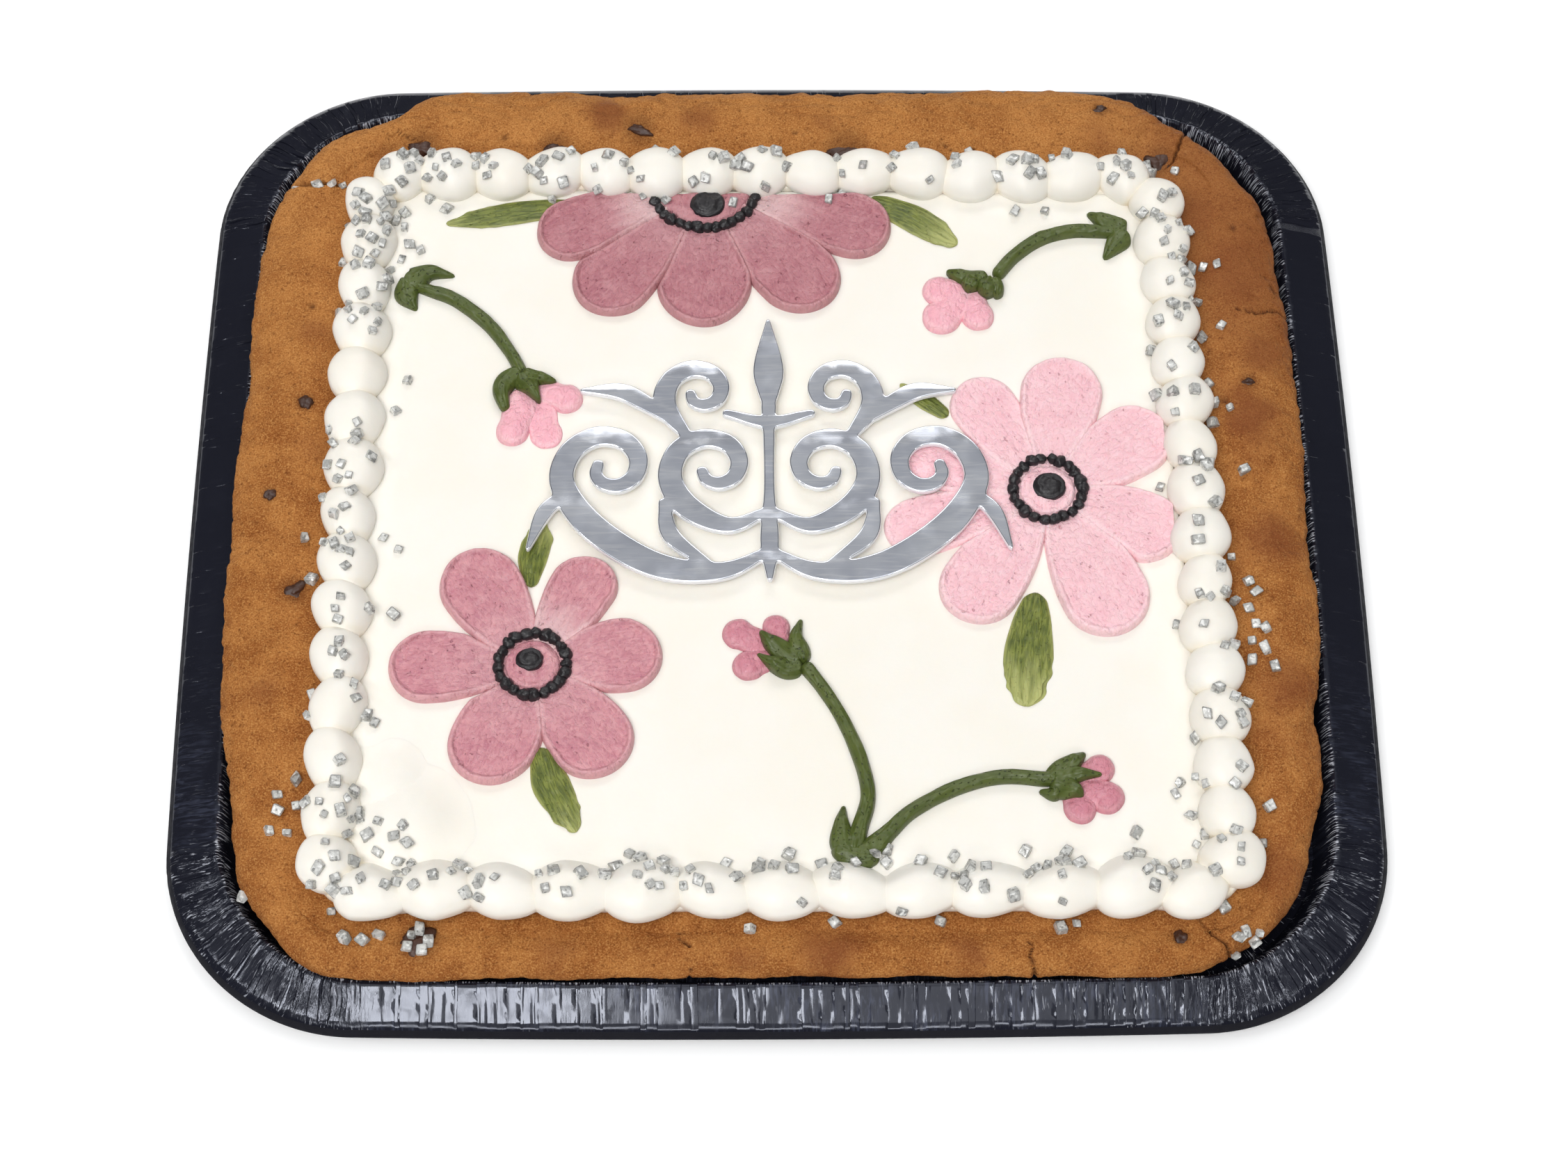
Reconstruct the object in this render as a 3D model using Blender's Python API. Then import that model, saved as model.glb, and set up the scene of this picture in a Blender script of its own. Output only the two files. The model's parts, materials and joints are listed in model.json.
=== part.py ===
"""Cookie cake: a chocolate chip slab in a pressed tray, iced, piped and dressed.

Lengths in this file are millimetres, and new_object() turns them into metres.
X runs along the long side, Y away from the front edge and Z up. The origin is
the middle of the tray's underside. Heights named *_Z are measured from there.
"""
import math
import random

import bmesh
import bpy
from mathutils import Euler, Vector
from mathutils.bvhtree import BVHTree

MM = 0.001
GAP = 0.3                       # left between pieces that touch

# Tray: pressed board with a wide sloping rim, split at its ridge so that the gap under
# the rim, where fingers lift it, stays open
TRAY_HALF_X = 172.5
TRAY_HALF_Y = 159.0
TRAY_CORNER = 54.0
TRAY_BOW = 2.4
PAN_SECTION = (                 # inward from the outer edge, height
    (19.2, 0.0), (17.6, 1.0), (13.9, 12.9), (13.2, 13.3), (13.2, 14.6), (14.6, 13.4),
    (18.2, 2.2), (19.6, 0.8),
)
RIM_SECTION = (
    (12.9, 13.3), (2.9, 9.5), (0.5, 7.0), (0.0, 7.6), (2.6, 10.5), (12.9, 14.5),
)
TRAY_FLOOR_Z = 0.8
TRAY_RIDGE_Z = 14.6

# Cookie slab
COOKIE_MIDDLE = (-1.7, 2.0)
COOKIE_HALF_X = 158.4
COOKIE_HALF_Y = 148.2
COOKIE_CORNER = 66.0
COOKIE_BOW = 1.0
COOKIE_TOP_Z = 21.6             # the flat top that carries the icing
COOKIE_CREST_Z = 22.6
FLAT_MIDDLE = (0.2, -4.8)       # the flat top, well inside the rim
FLAT_HALF_X = 134.6
FLAT_HALF_Y = 129.4
FLAT_CORNER = 16.0
FAR_PUFF = 3.0                  # how much higher the far rim has risen
COOKIE_LOBES = (
    (8, 0.6, 9.0), (28, -2.0, 4.0), (37, -1.1, 5.0), (46, -2.2, 5.0), (55, 0.7, 5.0), (64, 1.7, 6.0),
    (108, -0.6, 5.0), (119, 1.0, 6.0), (131, -4.3, 4.0), (141, -1.0, 5.0), (151, -1.9, 6.0),
    (162, -1.9, 7.0), (210, -4.9, 6.0), (219, 2.5, 5.0), (228, 6.5, 6.0), (309, 4.2, 5.0),
    (317, 3.9, 5.0), (325, -1.0, 6.0), (335, -2.3, 7.0), (346, 0.8, 7.0),
)
CRACKS = (                      # width, depth, then points from the rim inward
    (1.3, 3.2, ((-151.0, 114.5), (-144.0, 113.4), (-138.0, 114.2), (-134.0, 114.4))),
    (1.0, 3.0, ((158.0, 66.2), (150.0, 67.2), (145.0, 66.6))),
    (0.9, 2.6, ((131.5, 135.0), (127.0, 127.5), (123.0, 119.5))),
    (0.9, 2.6, ((126.5, -144.0), (121.5, -138.5), (117.5, -133.5))),
    (0.8, 2.2, ((70.5, -147.0), (69.6, -142.0), (68.4, -137.5))),
    (0.8, 2.2, ((-24.8, -139.5), (-26.0, -137.0), (-27.2, -134.0))),
)
CHIPS = (                       # x, y, length, width
    (-110.2, 128.4, 9.0, 5.0), (-68.6, 127.6, 8.0, 4.5), (-42.3, 133.9, 8.5, 3.5),
    (22.6, 127.4, 11.0, 6.0), (121.2, 123.0, 7.5, 6.0), (103.2, 140.4, 4.5, 3.0),
    (-140.6, -28.0, 7.0, 6.0), (-141.0, 35.7, 5.0, 4.5), (-149.6, 3.6, 4.0, 3.5),
    (-99.6, -137.4, 10.0, 8.0), (110.8, -137.0, 4.5, 4.5), (143.2, 42.0, 4.5, 2.5),
)
CHIP_RISE = 0.7

# Icing sheet and piped border
ICING_Z = 25.0
ICING_BASE_Z = COOKIE_TOP_Z + GAP
BORDER_CORNERS = ((-124.6, 114.2), (118.2, 112.2), (126.0, -124.6), (-125.2, -124.6))
BORDER_BEADS = (15, 16, 13, 15)             # far, right, near and left side
BORDER_BOWS = (2.2, 1.6, 0.6, 0.4)
BEAD_RADIUS = 8.5
BEAD_TOP_Z = 33.0
BEAD_NECK = 0.70                # size at the joint between two beads
BEAD_UNEVEN = 0.07
BEAD_DRIFT = 0.5                # how far a bead may lie off the middle line
BEAD_STATIONS = 3
BORDER_CORE = 2.6               # how far the border reaches down inside its middle line
FIELD_INSET = 10.2              # decorations stay this far inside the border's middle line

# Silver sugar crystals, fused to what they lie on
CRYSTAL_SIZE = (3.1, 4.4)
BORDER_CRYSTALS = (             # side, from and to as a share of it, lean outward, how many
    (0, 0.00, 0.22, 0.1, 6), (0, 0.25, 0.95, 0.3, 6), (1, 0.00, 0.15, 0.2, 4),
    (1, 0.20, 0.72, 0.4, 5), (1, 0.74, 0.99, 0.1, 4), (2, 0.02, 0.30, -0.2, 4),
    (2, 0.35, 0.72, -0.2, 5), (2, 0.76, 0.99, -0.1, 4), (3, 0.02, 0.30, -0.1, 5),
    (3, 0.38, 0.66, 0.3, 4), (3, 0.70, 0.99, 0.0, 5),
)
COOKIE_CRYSTALS = (
    (-148.4, 114.0), (-141.8, 113.2), (-143.0, -104.5), (-141.3, -93.5), (-120.0, -137.0),
    (-115.1, -137.6), (-110.8, -136.0), (-101.5, -136.2), (-97.0, -137.8), (-98.6, -140.6),
    (127.0, -137.6), (130.6, -139.4), (133.0, -135.6), (138.6, -98.4), (137.6, -35.0),
    (139.2, -40.2), (137.8, -45.6), (141.2, -48.4), (136.6, 84.6),
)
ICING_CRYSTALS = (
    (-108.5, 88.0), (-101.0, 103.0), (-110.5, 41.0), (-110.4, -16.6), (-110.8, -38.2),
    (74.6, 101.6), (100.0, -107.4), (-104.6, -106.0),
)

# Piped flowers: centre, ring radius, dot radius and petals as
# direction in degrees, length from the centre, radius of the round end, height of its rim
FIELD_Z = ICING_Z + GAP
PETAL_START = 2.6
PETAL_ROOT = 1.0                # radius of the petal's inner end
PETAL_ROOT_RISE = 0.9
PETAL_RIM = 1.3
PETAL_FULLNESS = 0.6            # below 1 the sides of a petal swell outward
PETAL_RISE = 2.8
LOW_PETAL = 1.2                 # the petals that the topper lies over
FLOWERS = {
    "top": {"centre": (-21.5, 112.0), "ring": 16.9, "dot": 5.4, "dot_shift": (1.1, -8.1), "petals": (
        (203.0, 55.0, 11.0, PETAL_RISE), (232.0, 57.8, 12.4, PETAL_RISE),
        (270.0, 51.8, 14.6, PETAL_RISE), (310.4, 57.8, 12.8, PETAL_RISE),
        (341.0, 60.2, 11.7, PETAL_RISE))},
    "left": {"centre": (-70.2, -54.5), "ring": 9.8, "dot": 4.0, "dot_shift": (-0.9, 1.2), "petals": (
        (6.6, 37.4, 11.6, PETAL_RISE), (60.9, 38.8, 10.0, PETAL_RISE),
        (121.6, 42.4, 12.3, PETAL_RISE), (181.1, 41.4, 11.4, PETAL_RISE),
        (246.5, 39.6, 13.0, PETAL_RISE), (306.0, 41.3, 12.2, PETAL_RISE))},
    "right": {"centre": (80.2, 2.6), "ring": 10.2, "dot": 5.0, "dot_shift": (0.5, 0.7), "petals": (
        (32.4, 43.0, 11.8, PETAL_RISE), (80.2, 45.9, 12.2, PETAL_RISE),
        (121.3, 44.3, 10.2, LOW_PETAL), (162.0, 46.0, 9.8, LOW_PETAL),
        (197.7, 50.3, 9.9, LOW_PETAL), (236.5, 50.5, 12.2, PETAL_RISE - 0.2),
        (294.0, 51.5, 13.2, PETAL_RISE), (335.6, 42.0, 11.6, PETAL_RISE))},
}
DOT_RISE = 3.0
RING_BEADS = 18
RING_BEAD_RADIUS = 1.35
RING_Z = FIELD_Z + PETAL_ROOT_RISE + GAP

# Brushed leaves: points of the middle line with the full width at each
LEAF_RISE = 1.0
LEAVES = {
    "leaf_left_top": (
        (-71.5, -25.0, 3.0), (-71.2, -18.6, 8.6), (-69.4, -12.0, 7.6), (-68.6, -6.0, 1.2)),
    "leaf_left_bottom": (
        (-66.4, -85.8, 5.0), (-64.0, -92.6, 10.5), (-60.0, -100.0, 9.0), (-56.7, -106.5, 3.0)),
    "leaf_right_bottom": (
        (73.8, -38.5, 6.0), (72.8, -47.0, 13.0), (71.8, -57.0, 14.0), (71.1, -68.0, 7.0)),
    "leaf_right_top": (
        (47.6, 31.4, 2.6), (42.6, 35.6, 5.0), (37.6, 39.6, 1.4)),
    "leaf_top_left": (
        (-72.5, 102.6, 3.0), (-81.0, 101.6, 7.6), (-91.0, 99.6, 6.8), (-101.0, 97.8, 1.4)),
    "leaf_top_right": (
        (37.2, 103.0, 5.0), (43.0, 99.6, 9.0), (50.0, 94.6, 8.6), (56.4, 89.8, 3.0)),
}

# Sprigs: piped strokes as x, y, width, with the height of each given by its width
STEM = 4.2
SPRIGS = {
    "sprig_left": (
        ((-113.4, 76.8, 3.4), (-110.2, 76.8, 8.2), (-105.0, 79.4, 5.2), (-97.6, 78.4, 1.0)),
        ((-112.4, 77.6, 3.4), (-112.0, 71.6, 7.6), (-108.8, 66.0, 1.2)),
        ((-110.0, 74.6, 3.0), (-104.0, 72.6, 3.8), (-96.2, 69.0, STEM), (-86.4, 60.4, STEM),
         (-79.8, 50.9, 3.9), (-75.6, 42.6, 3.9)),
        ((-76.0, 44.6, 4.0), (-76.8, 39.0, 7.4), (-80.8, 33.4, 1.2)),
        ((-76.0, 44.6, 4.0), (-74.8, 39.4, 6.6), (-72.6, 35.4, 1.2)),
        ((-76.0, 44.6, 4.0), (-71.4, 42.6, 5.6), (-66.4, 43.4, 1.2))),
    "sprig_right": (
        ((108.6, 93.4, 5.0), (106.6, 94.6, 8.6), (102.0, 97.8, 5.8), (97.0, 101.0, 1.2)),
        ((109.0, 93.8, 5.0), (106.0, 90.4, 7.4), (101.4, 84.2, 1.4)),
        ((106.0, 93.6, 4.0), (99.0, 94.2, STEM), (91.5, 94.2, STEM), (82.2, 91.5, STEM),
         (73.7, 85.0, STEM), (67.6, 77.4, STEM)),
        ((68.6, 78.6, 4.4), (62.6, 79.4, 7.0), (54.6, 80.6, 1.2)),
        ((68.2, 78.6, 4.4), (64.4, 75.0, 6.6), (60.4, 72.6, 1.6)),
        ((68.2, 78.6, 4.4), (67.6, 73.6, 5.4), (68.6, 70.4, 1.4))),
    "sprig_near": (
        ((21.6, -113.4, 5.0), (20.2, -108.6, 7.6), (18.4, -98.8, 1.4)),
        ((20.4, -113.0, 6.0), (16.4, -112.8, 5.0), (13.2, -112.8, 1.6)),
        ((23.0, -112.6, 6.0), (26.6, -109.8, 5.6), (29.6, -106.6, 3.0)),
        ((22.4, -109.0, 4.4), (25.2, -96.0, STEM), (23.3, -84.7, STEM), (18.5, -72.2, 3.9),
         (13.0, -62.3, 3.9), (7.4, -54.4, 4.2)),
        ((27.6, -107.4, 3.6), (37.4, -99.8, STEM), (50.0, -93.7, STEM), (62.7, -90.3, STEM),
         (74.6, -91.0, STEM), (79.4, -91.0, 4.4)),
        ((7.8, -55.4, 4.4), (5.6, -49.0, 5.8), (6.6, -40.4, 1.2)),
        ((8.4, -55.6, 4.4), (3.0, -50.2, 6.6), (-1.4, -48.8, 1.4)),
        ((8.4, -55.6, 4.4), (3.0, -54.2, 5.0), (-1.4, -54.6, 1.2)),
        ((78.0, -91.0, 4.4), (82.6, -88.2, 6.0), (86.8, -83.6, 1.2)),
        ((78.0, -91.0, 4.4), (81.4, -91.4, 6.0), (84.2, -91.6, 2.0)),
        ((78.0, -91.0, 4.4), (77.0, -93.0, 4.4), (73.6, -93.8, 1.4))),
}
BUD_RISE = 2.9
LOW_BUD = 1.2                   # the bud that the topper lies over
BLOB_SIDES = 7
BUDS = {                        # x, y, radius, rise
    "bud_left_a": (-64.8, 35.4, 5.4, BUD_RISE), "bud_left_b": (-79.2, 25.4, 5.4, BUD_RISE),
    "bud_left_c": (-69.0, 25.6, 4.4, LOW_BUD),
    "bud_right_a": (51.4, 74.0, 4.8, BUD_RISE), "bud_right_b": (51.8, 63.6, 5.2, BUD_RISE),
    "bud_right_c": (62.6, 65.0, 4.8, BUD_RISE),
    "bud_near_a": (-11.3, -43.4, 4.8, BUD_RISE), "bud_near_b": (-0.8, -42.0, 4.2, BUD_RISE),
    "bud_near_c": (-8.2, -53.2, 4.5, BUD_RISE),
    "bud_near_d": (91.6, -87.0, 4.8, BUD_RISE), "bud_near_e": (93.2, -97.0, 4.6, BUD_RISE),
    "bud_near_f": (83.4, -99.8, 4.6, BUD_RISE),
}

# Topper: a mirror-finish sheet of scrollwork, symmetric about X = TOPPER_X
TOPPER_X = -2.0
TOPPER_Z = FIELD_Z + LOW_PETAL + GAP + 0.2
TOPPER_THICK = 2.0
TOPPER_HALF = (                 # lead-in points as x, y, width, then the scroll that they run into:
    #                             centre x, y, radius from, to, start and sweep in degrees, width from, to
    (((0.0, -19.0, 3.0), (14.0, -25.6, 6.0), (33.0, -23.6, 8.4), (51.0, -11.6, 8.8)),
     (47.0, 9.0, 15.0, 3.6, -24.0, 400.0, 7.6, 3.6)),
    (((1.0, -6.0, 3.0), (12.0, -10.4, 5.4)), (16.4, 9.0, 15.4, 3.6, -62.0, 400.0, 7.8, 3.6)),
    (((24.0, 19.5, 3.2),), (20.4, 35.0, 11.4, 3.0, -24.0, 370.0, 6.8, 3.4)),
    (((29.6, 25.6, 3.0), (38.0, 32.0, 5.6), (45.0, 35.4, 5.4), (55.6, 35.6, 1.6)), None),
    (((31.0, -3.0, 3.4), (28.6, -14.0, 5.4), (17.0, -24.0, 2.6)), None),
    (((59.0, 1.0, 3.0), (66.0, -6.0, 4.8), (70.5, -18.0, 1.4)), None),
)
TOPPER_MIDDLE = (
    ((0.0, -28.0, 2.0), (0.0, -16.0, 5.6), (0.0, 2.0, 3.2), (0.0, 22.0, 3.6), (0.0, 30.0, 4.6)),
    ((0.0, 29.0, 2.4), (0.0, 36.0, 6.8), (0.0, 44.0, 9.0), (0.0, 60.0, 1.4)),
    ((-12.6, 27.6, 2.6), (0.0, 24.6, 4.2), (12.6, 27.6, 2.6)),
)
SCROLL_STEP = 46.0              # degrees between points of a scroll


def lerp(a, b, t):
    return a + (b - a) * t


def smoothstep(low, high, value):
    t = min(max((value - low) / (high - low), 0.0), 1.0)
    return t * t * (3.0 - 2.0 * t)


def material(name, colour, roughness, metallic=0.0):
    made = bpy.data.materials.new(name)
    made.use_nodes = True
    shader = made.node_tree.nodes["Principled BSDF"]
    shader.inputs["Base Color"].default_value = (*colour, 1.0)
    shader.inputs["Roughness"].default_value = roughness
    shader.inputs["Metallic"].default_value = metallic
    return made


def new_object(name, points, faces, finish=None):
    """An object of the given faces, with its normals pointing out."""
    mesh = bpy.data.meshes.new(name)
    mesh.from_pydata([(x * MM, y * MM, z * MM) for x, y, z in points], [], faces)
    bm = bmesh.new()
    bm.from_mesh(mesh)
    bmesh.ops.remove_doubles(bm, verts=bm.verts, dist=0.00001)
    bmesh.ops.recalc_face_normals(bm, faces=bm.faces)
    bm.to_mesh(mesh)
    bm.free()
    if finish:
        mesh.materials.append(finish)
    mesh.shade_smooth()
    mesh.set_sharp_from_angle(angle=math.radians(35.0))
    made = bpy.data.objects.new(name, mesh)
    bpy.context.scene.collection.objects.link(made)
    return made


def loft(name, rings, finish=None):
    """A closed body through rings of equal length, capped at both ends."""
    count = len(rings[0])
    points = [point for ring in rings for point in ring]
    faces = [list(range(count - 1, -1, -1)), list(range(len(points) - count, len(points)))]
    for level in range(len(rings) - 1):
        for i in range(count):
            a, b = level * count + i, level * count + (i + 1) % count
            faces.append((a, b, b + count, a + count))
    return new_object(name, points, faces, finish)


def tube_faces(stations, sides):
    """Faces of a closed tube whose points are listed station by station."""
    faces = []
    for i in range(stations):
        for k in range(sides):
            a, b = i * sides + k, i * sides + (k + 1) % sides
            step = sides if i < stations - 1 else sides - stations * sides
            faces.append((a, b, b + step, a + step))
    return faces


def applied(target, operand, operation, solver="EXACT"):
    """Applies one Boolean with a collection to target and removes the collection's objects."""
    cut = target.modifiers.new("join", "BOOLEAN")
    cut.operand_type = "COLLECTION"
    cut.collection = operand
    cut.operation = operation
    cut.solver = solver
    graph = bpy.context.evaluated_depsgraph_get()
    mesh = bpy.data.meshes.new_from_object(target.evaluated_get(graph))
    target.modifiers.remove(cut)
    target.data = mesh
    for made in list(operand.objects):
        bpy.data.objects.remove(made, do_unlink=True)
    bpy.data.collections.remove(operand)


def keep_largest_body(target):
    """Drops loose scraps that a cut or a union has left beside the main body."""
    bm = bmesh.new()
    bm.from_mesh(target.data)
    bmesh.ops.remove_doubles(bm, verts=bm.verts, dist=0.000005)
    unseen = set(bm.verts)
    bodies = []
    while unseen:
        stack = [unseen.pop()]
        body = set(stack)
        while stack:
            for edge in stack.pop().link_edges:
                for vert in edge.verts:
                    if vert not in body:
                        body.add(vert)
                        unseen.discard(vert)
                        stack.append(vert)
        bodies.append(body)
    keep = max(bodies, key=len)
    bmesh.ops.delete(bm, geom=[vert for vert in bm.verts if vert not in keep], context="VERTS")
    bm.to_mesh(target.data)
    bm.free()


def gather(name, objects):
    """Moves objects into a new collection of their own."""
    group = bpy.data.collections.new(name)
    bpy.context.scene.collection.children.link(group)
    for made in objects:
        bpy.context.scene.collection.objects.unlink(made)
        group.objects.link(made)
    return group


def rounded_outline(half_x, half_y, corner, bow, corner_steps, side_steps, middle=(0.0, 0.0)):
    """A rectangle with round corners and sides that bow out, anticlockwise."""
    points = []
    for quarter in range(4):
        sign_x = (1, -1, -1, 1)[quarter]
        sign_y = (1, 1, -1, -1)[quarter]
        for step in range(corner_steps + 1):
            angle = math.radians(90.0 * (quarter + step / corner_steps))
            points.append((sign_x * (half_x - corner) + corner * math.cos(angle),
                           sign_y * (half_y - corner) + corner * math.sin(angle)))
        last = points[-1]
        following = {0: (-half_x + corner, half_y), 1: (-half_x, -half_y + corner),
                     2: (half_x - corner, -half_y), 3: (half_x, half_y - corner)}[quarter]
        for step in range(1, side_steps):
            points.append((lerp(last[0], following[0], step / side_steps),
                           lerp(last[1], following[1], step / side_steps)))
    bowed = []
    for x, y in points:
        push_x = bow * (1.0 - (y / half_y) ** 2) * x / half_x
        push_y = bow * (1.0 - (x / half_x) ** 2) * y / half_y
        bowed.append((x + push_x + middle[0], y + push_y + middle[1]))
    return bowed


def smooth_path(points, steps):
    """A Catmull-Rom curve through an open row of points of any dimension."""
    ends = [tuple(2 * a - b for a, b in zip(points[0], points[1]))]
    ends += list(points) + [tuple(2 * a - b for a, b in zip(points[-1], points[-2]))]
    path = []
    for i in range(1, len(ends) - 2):
        for step in range(steps):
            path.append(catmull_rom(ends[i - 1:i + 3], step / steps))
    path.append(tuple(points[-1]))
    return path


def catmull_rom(four, t):
    return tuple(0.5 * (2 * b + (c - a) * t + (2 * a - 5 * b + 4 * c - d) * t * t
                        + (3 * b - a - 3 * c + d) * t ** 3) for a, b, c, d in zip(*four))


def sides_of(path, closed=False):
    """The unit vector to the left of an x, y path at each of its points."""
    found = []
    count = len(path)
    for i in range(count):
        before = path[i - 1] if closed or i > 0 else path[i]
        after = path[(i + 1) % count] if closed or i < count - 1 else path[i]
        dx, dy = after[0] - before[0], after[1] - before[1]
        length = math.hypot(dx, dy)
        found.append((-dy / length, dx / length))
    return found


# Tray

def tray_ring(inset, height):
    outline = rounded_outline(TRAY_HALF_X - inset, TRAY_HALF_Y - inset, TRAY_CORNER - inset,
                              TRAY_BOW, 7, 4)
    return [(x, y, height) for x, y in outline]


def build_tray(finish):
    loft("tray", [tray_ring(inset, height) for inset, height in PAN_SECTION], finish)
    rings = [tray_ring(inset, height) for inset, height in RIM_SECTION]
    points = [point for station in zip(*rings) for point in station]
    new_object("tray_rim", points, tube_faces(len(rings[0]), len(rings)), finish)


# Cookie slab

def lobe_push(angle):
    """How far the cookie's edge is pushed out in a direction, in degrees."""
    push = 0.0
    for centre, amount, width in COOKIE_LOBES:
        away = (angle - centre + 180.0) % 360.0 - 180.0
        push += amount * math.exp(-(away / width) ** 2)
    return push


def far_lift(y):
    return FAR_PUFF * smoothstep(96.0, 136.0, y)


def cookie_rings():
    steps = (7, 8)
    widest = []
    for x, y in rounded_outline(COOKIE_HALF_X, COOKIE_HALF_Y, COOKIE_CORNER, COOKIE_BOW, *steps,
                                middle=COOKIE_MIDDLE):
        reach = math.hypot(x, y)
        grown = 1.0 + lobe_push(math.degrees(math.atan2(y, x))) / reach
        widest.append((x * grown, y * grown))
    flat = rounded_outline(FLAT_HALF_X, FLAT_HALF_Y, FLAT_CORNER, 0.0, *steps, middle=FLAT_MIDDLE)

    def inside_tray(ring, inset, tray_inset):
        """The ring drawn in, and held inside the tray's wall."""
        held = []
        limit_x, limit_y = TRAY_HALF_X - tray_inset, TRAY_HALF_Y - tray_inset
        corner = TRAY_CORNER - tray_inset
        for x, y in ring:
            scale = 1.0 - inset / math.hypot(x, y)
            x, y = x * scale, y * scale
            beyond_x = max(abs(x) - (limit_x - corner), 0.0)
            beyond_y = max(abs(y) - (limit_y - corner), 0.0)
            beyond = math.hypot(beyond_x, beyond_y)
            if beyond > corner:
                x -= math.copysign(beyond_x * (1.0 - corner / beyond), x)
                y -= math.copysign(beyond_y * (1.0 - corner / beyond), y)
            held.append((x, y))
        return held

    rings = [[(x, y, TRAY_FLOOR_Z + GAP) for x, y in inside_tray(widest, 6.0, 20.4)],
             [(x, y, 12.0) for x, y in inside_tray(widest, 1.6, 16.2)],
             [(x, y, TRAY_RIDGE_Z + 0.7) for x, y in inside_tray(widest, 0.5, 12.0)],
             [(x, y, 17.6) for x, y in widest]]
    profile = ((0.08, 20.2, 0.5), (0.26, 22.0, 0.9), (0.52, COOKIE_CREST_Z, 1.0), (0.80, 22.1, 0.6),
               (1.0, COOKIE_TOP_Z, 0.0))
    for share, height, lifted in profile:
        ring = []
        for (x, y), (flat_x, flat_y) in zip(widest, flat):
            x, y = lerp(x, flat_x, share), lerp(y, flat_y, share)
            ring.append((x, y, height + lifted * far_lift(y)))
        rings.append(ring)
    return rings


def crack_cutter(name, width, depth, path, tree):
    """A wedge along a crack, open at the top and sunk to its depth."""
    rings = []
    for (x, y), (side_x, side_y) in zip(path, sides_of(path)):
        top = surface_height(tree, x, y, COOKIE_CREST_Z)
        taper = 0.35 if (x, y) == path[-1] else 1.0
        rings.append([(x - side_x * width * taper, y - side_y * width * taper, top + 3.0),
                      (x + side_x * width * taper, y + side_y * width * taper, top + 3.0),
                      (x + side_x * 0.15, y + side_y * 0.15, top - depth * taper),
                      (x - side_x * 0.15, y - side_y * 0.15, top - depth * taper)])
    return loft(name, rings)


def tree_of(target):
    graph = bpy.context.evaluated_depsgraph_get()
    return BVHTree.FromObject(target, graph)


def surface_height(tree, x, y, otherwise):
    """The height of the surface seen from above at x, y."""
    hit = tree.ray_cast(Vector((x * MM, y * MM, 0.1)), Vector((0.0, 0.0, -1.0)))
    return hit[0].z / MM if hit[0] else otherwise


def chip(name, x, y, z, length, width, turn):
    """A chocolate chip that stands just proud of the cookie."""
    rings = []
    for share, height in ((0.75, -1.6), (1.0, 0.0), (0.55, CHIP_RISE)):
        ring = []
        for step in range(6):
            angle = math.tau * step / 6
            u, v = 0.5 * length * share * math.cos(angle), 0.5 * width * share * math.sin(angle)
            ring.append((x + u * math.cos(turn) - v * math.sin(turn),
                         y + u * math.sin(turn) + v * math.cos(turn), z + height))
        rings.append(ring)
    return loft(name, rings)


def crystal(name, place, size, draws):
    """A sugar crystal: a slightly uneven block, turned at random."""
    turn = Euler((draws.uniform(-0.6, 0.6), draws.uniform(-0.3, 0.3), draws.uniform(0.0, math.tau)))
    half_x = 0.5 * size * draws.uniform(0.85, 1.1)
    half_y = 0.5 * size * draws.uniform(0.75, 1.0)
    half_z = 0.5 * size * draws.uniform(0.7, 1.0)
    points = []
    for z in (-half_z, half_z):
        for x, y in ((-half_x, -half_y), (half_x, -half_y), (half_x, half_y), (-half_x, half_y)):
            corner = Vector((x, y, z))
            corner.rotate(turn)
            points.append(tuple(Vector(place) + corner))
    return loft(name, [points[:4], points[4:]])


def build_cookie(finish, draws):
    cookie = loft("cookie", cookie_rings(), finish)
    tree = tree_of(cookie)
    cutters = [crack_cutter("crack", *crack, tree) for crack in CRACKS]
    applied(cookie, gather("cracks", cutters), "DIFFERENCE")
    tree = tree_of(cookie)
    extras = []
    for x, y, length, width in CHIPS:
        z = surface_height(tree, x, y, COOKIE_CREST_Z)
        extras.append(chip("chip", x, y, z, length, width, draws.uniform(0.0, math.pi)))
    for x, y in COOKIE_CRYSTALS:
        z = surface_height(tree, x, y, COOKIE_CREST_Z)
        size = draws.uniform(*CRYSTAL_SIZE)
        extras.append(crystal("crystal", (x, y, z + 0.2 * size), size, draws))
    applied(cookie, gather("cookie_extras", extras), "UNION")
    keep_largest_body(cookie)
    return cookie


# Border of piped beads

def bead_centres(draws):
    """The middle of each bead, evenly spread along the four sides with a little unevenness."""
    centres = []
    for side, count in enumerate(BORDER_BEADS):
        (x0, y0), (x1, y1) = BORDER_CORNERS[side], BORDER_CORNERS[(side + 1) % 4]
        length = math.hypot(x1 - x0, y1 - y0)
        out_x, out_y = -(y1 - y0) / length, (x1 - x0) / length
        for i in range(count):
            share = (i + 0.5) / count
            uneven = draws.uniform(-BEAD_UNEVEN, BEAD_UNEVEN) if 0 < i < count - 1 else 0.0
            bow = BORDER_BOWS[side] * 4.0 * share * (1.0 - share)
            share += uneven / count
            wander = draws.uniform(-BEAD_DRIFT, BEAD_DRIFT)
            centres.append((lerp(x0, x1, share) + out_x * (bow + wander),
                            lerp(y0, y1, share) + out_y * (bow + wander)))
    return centres


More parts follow.
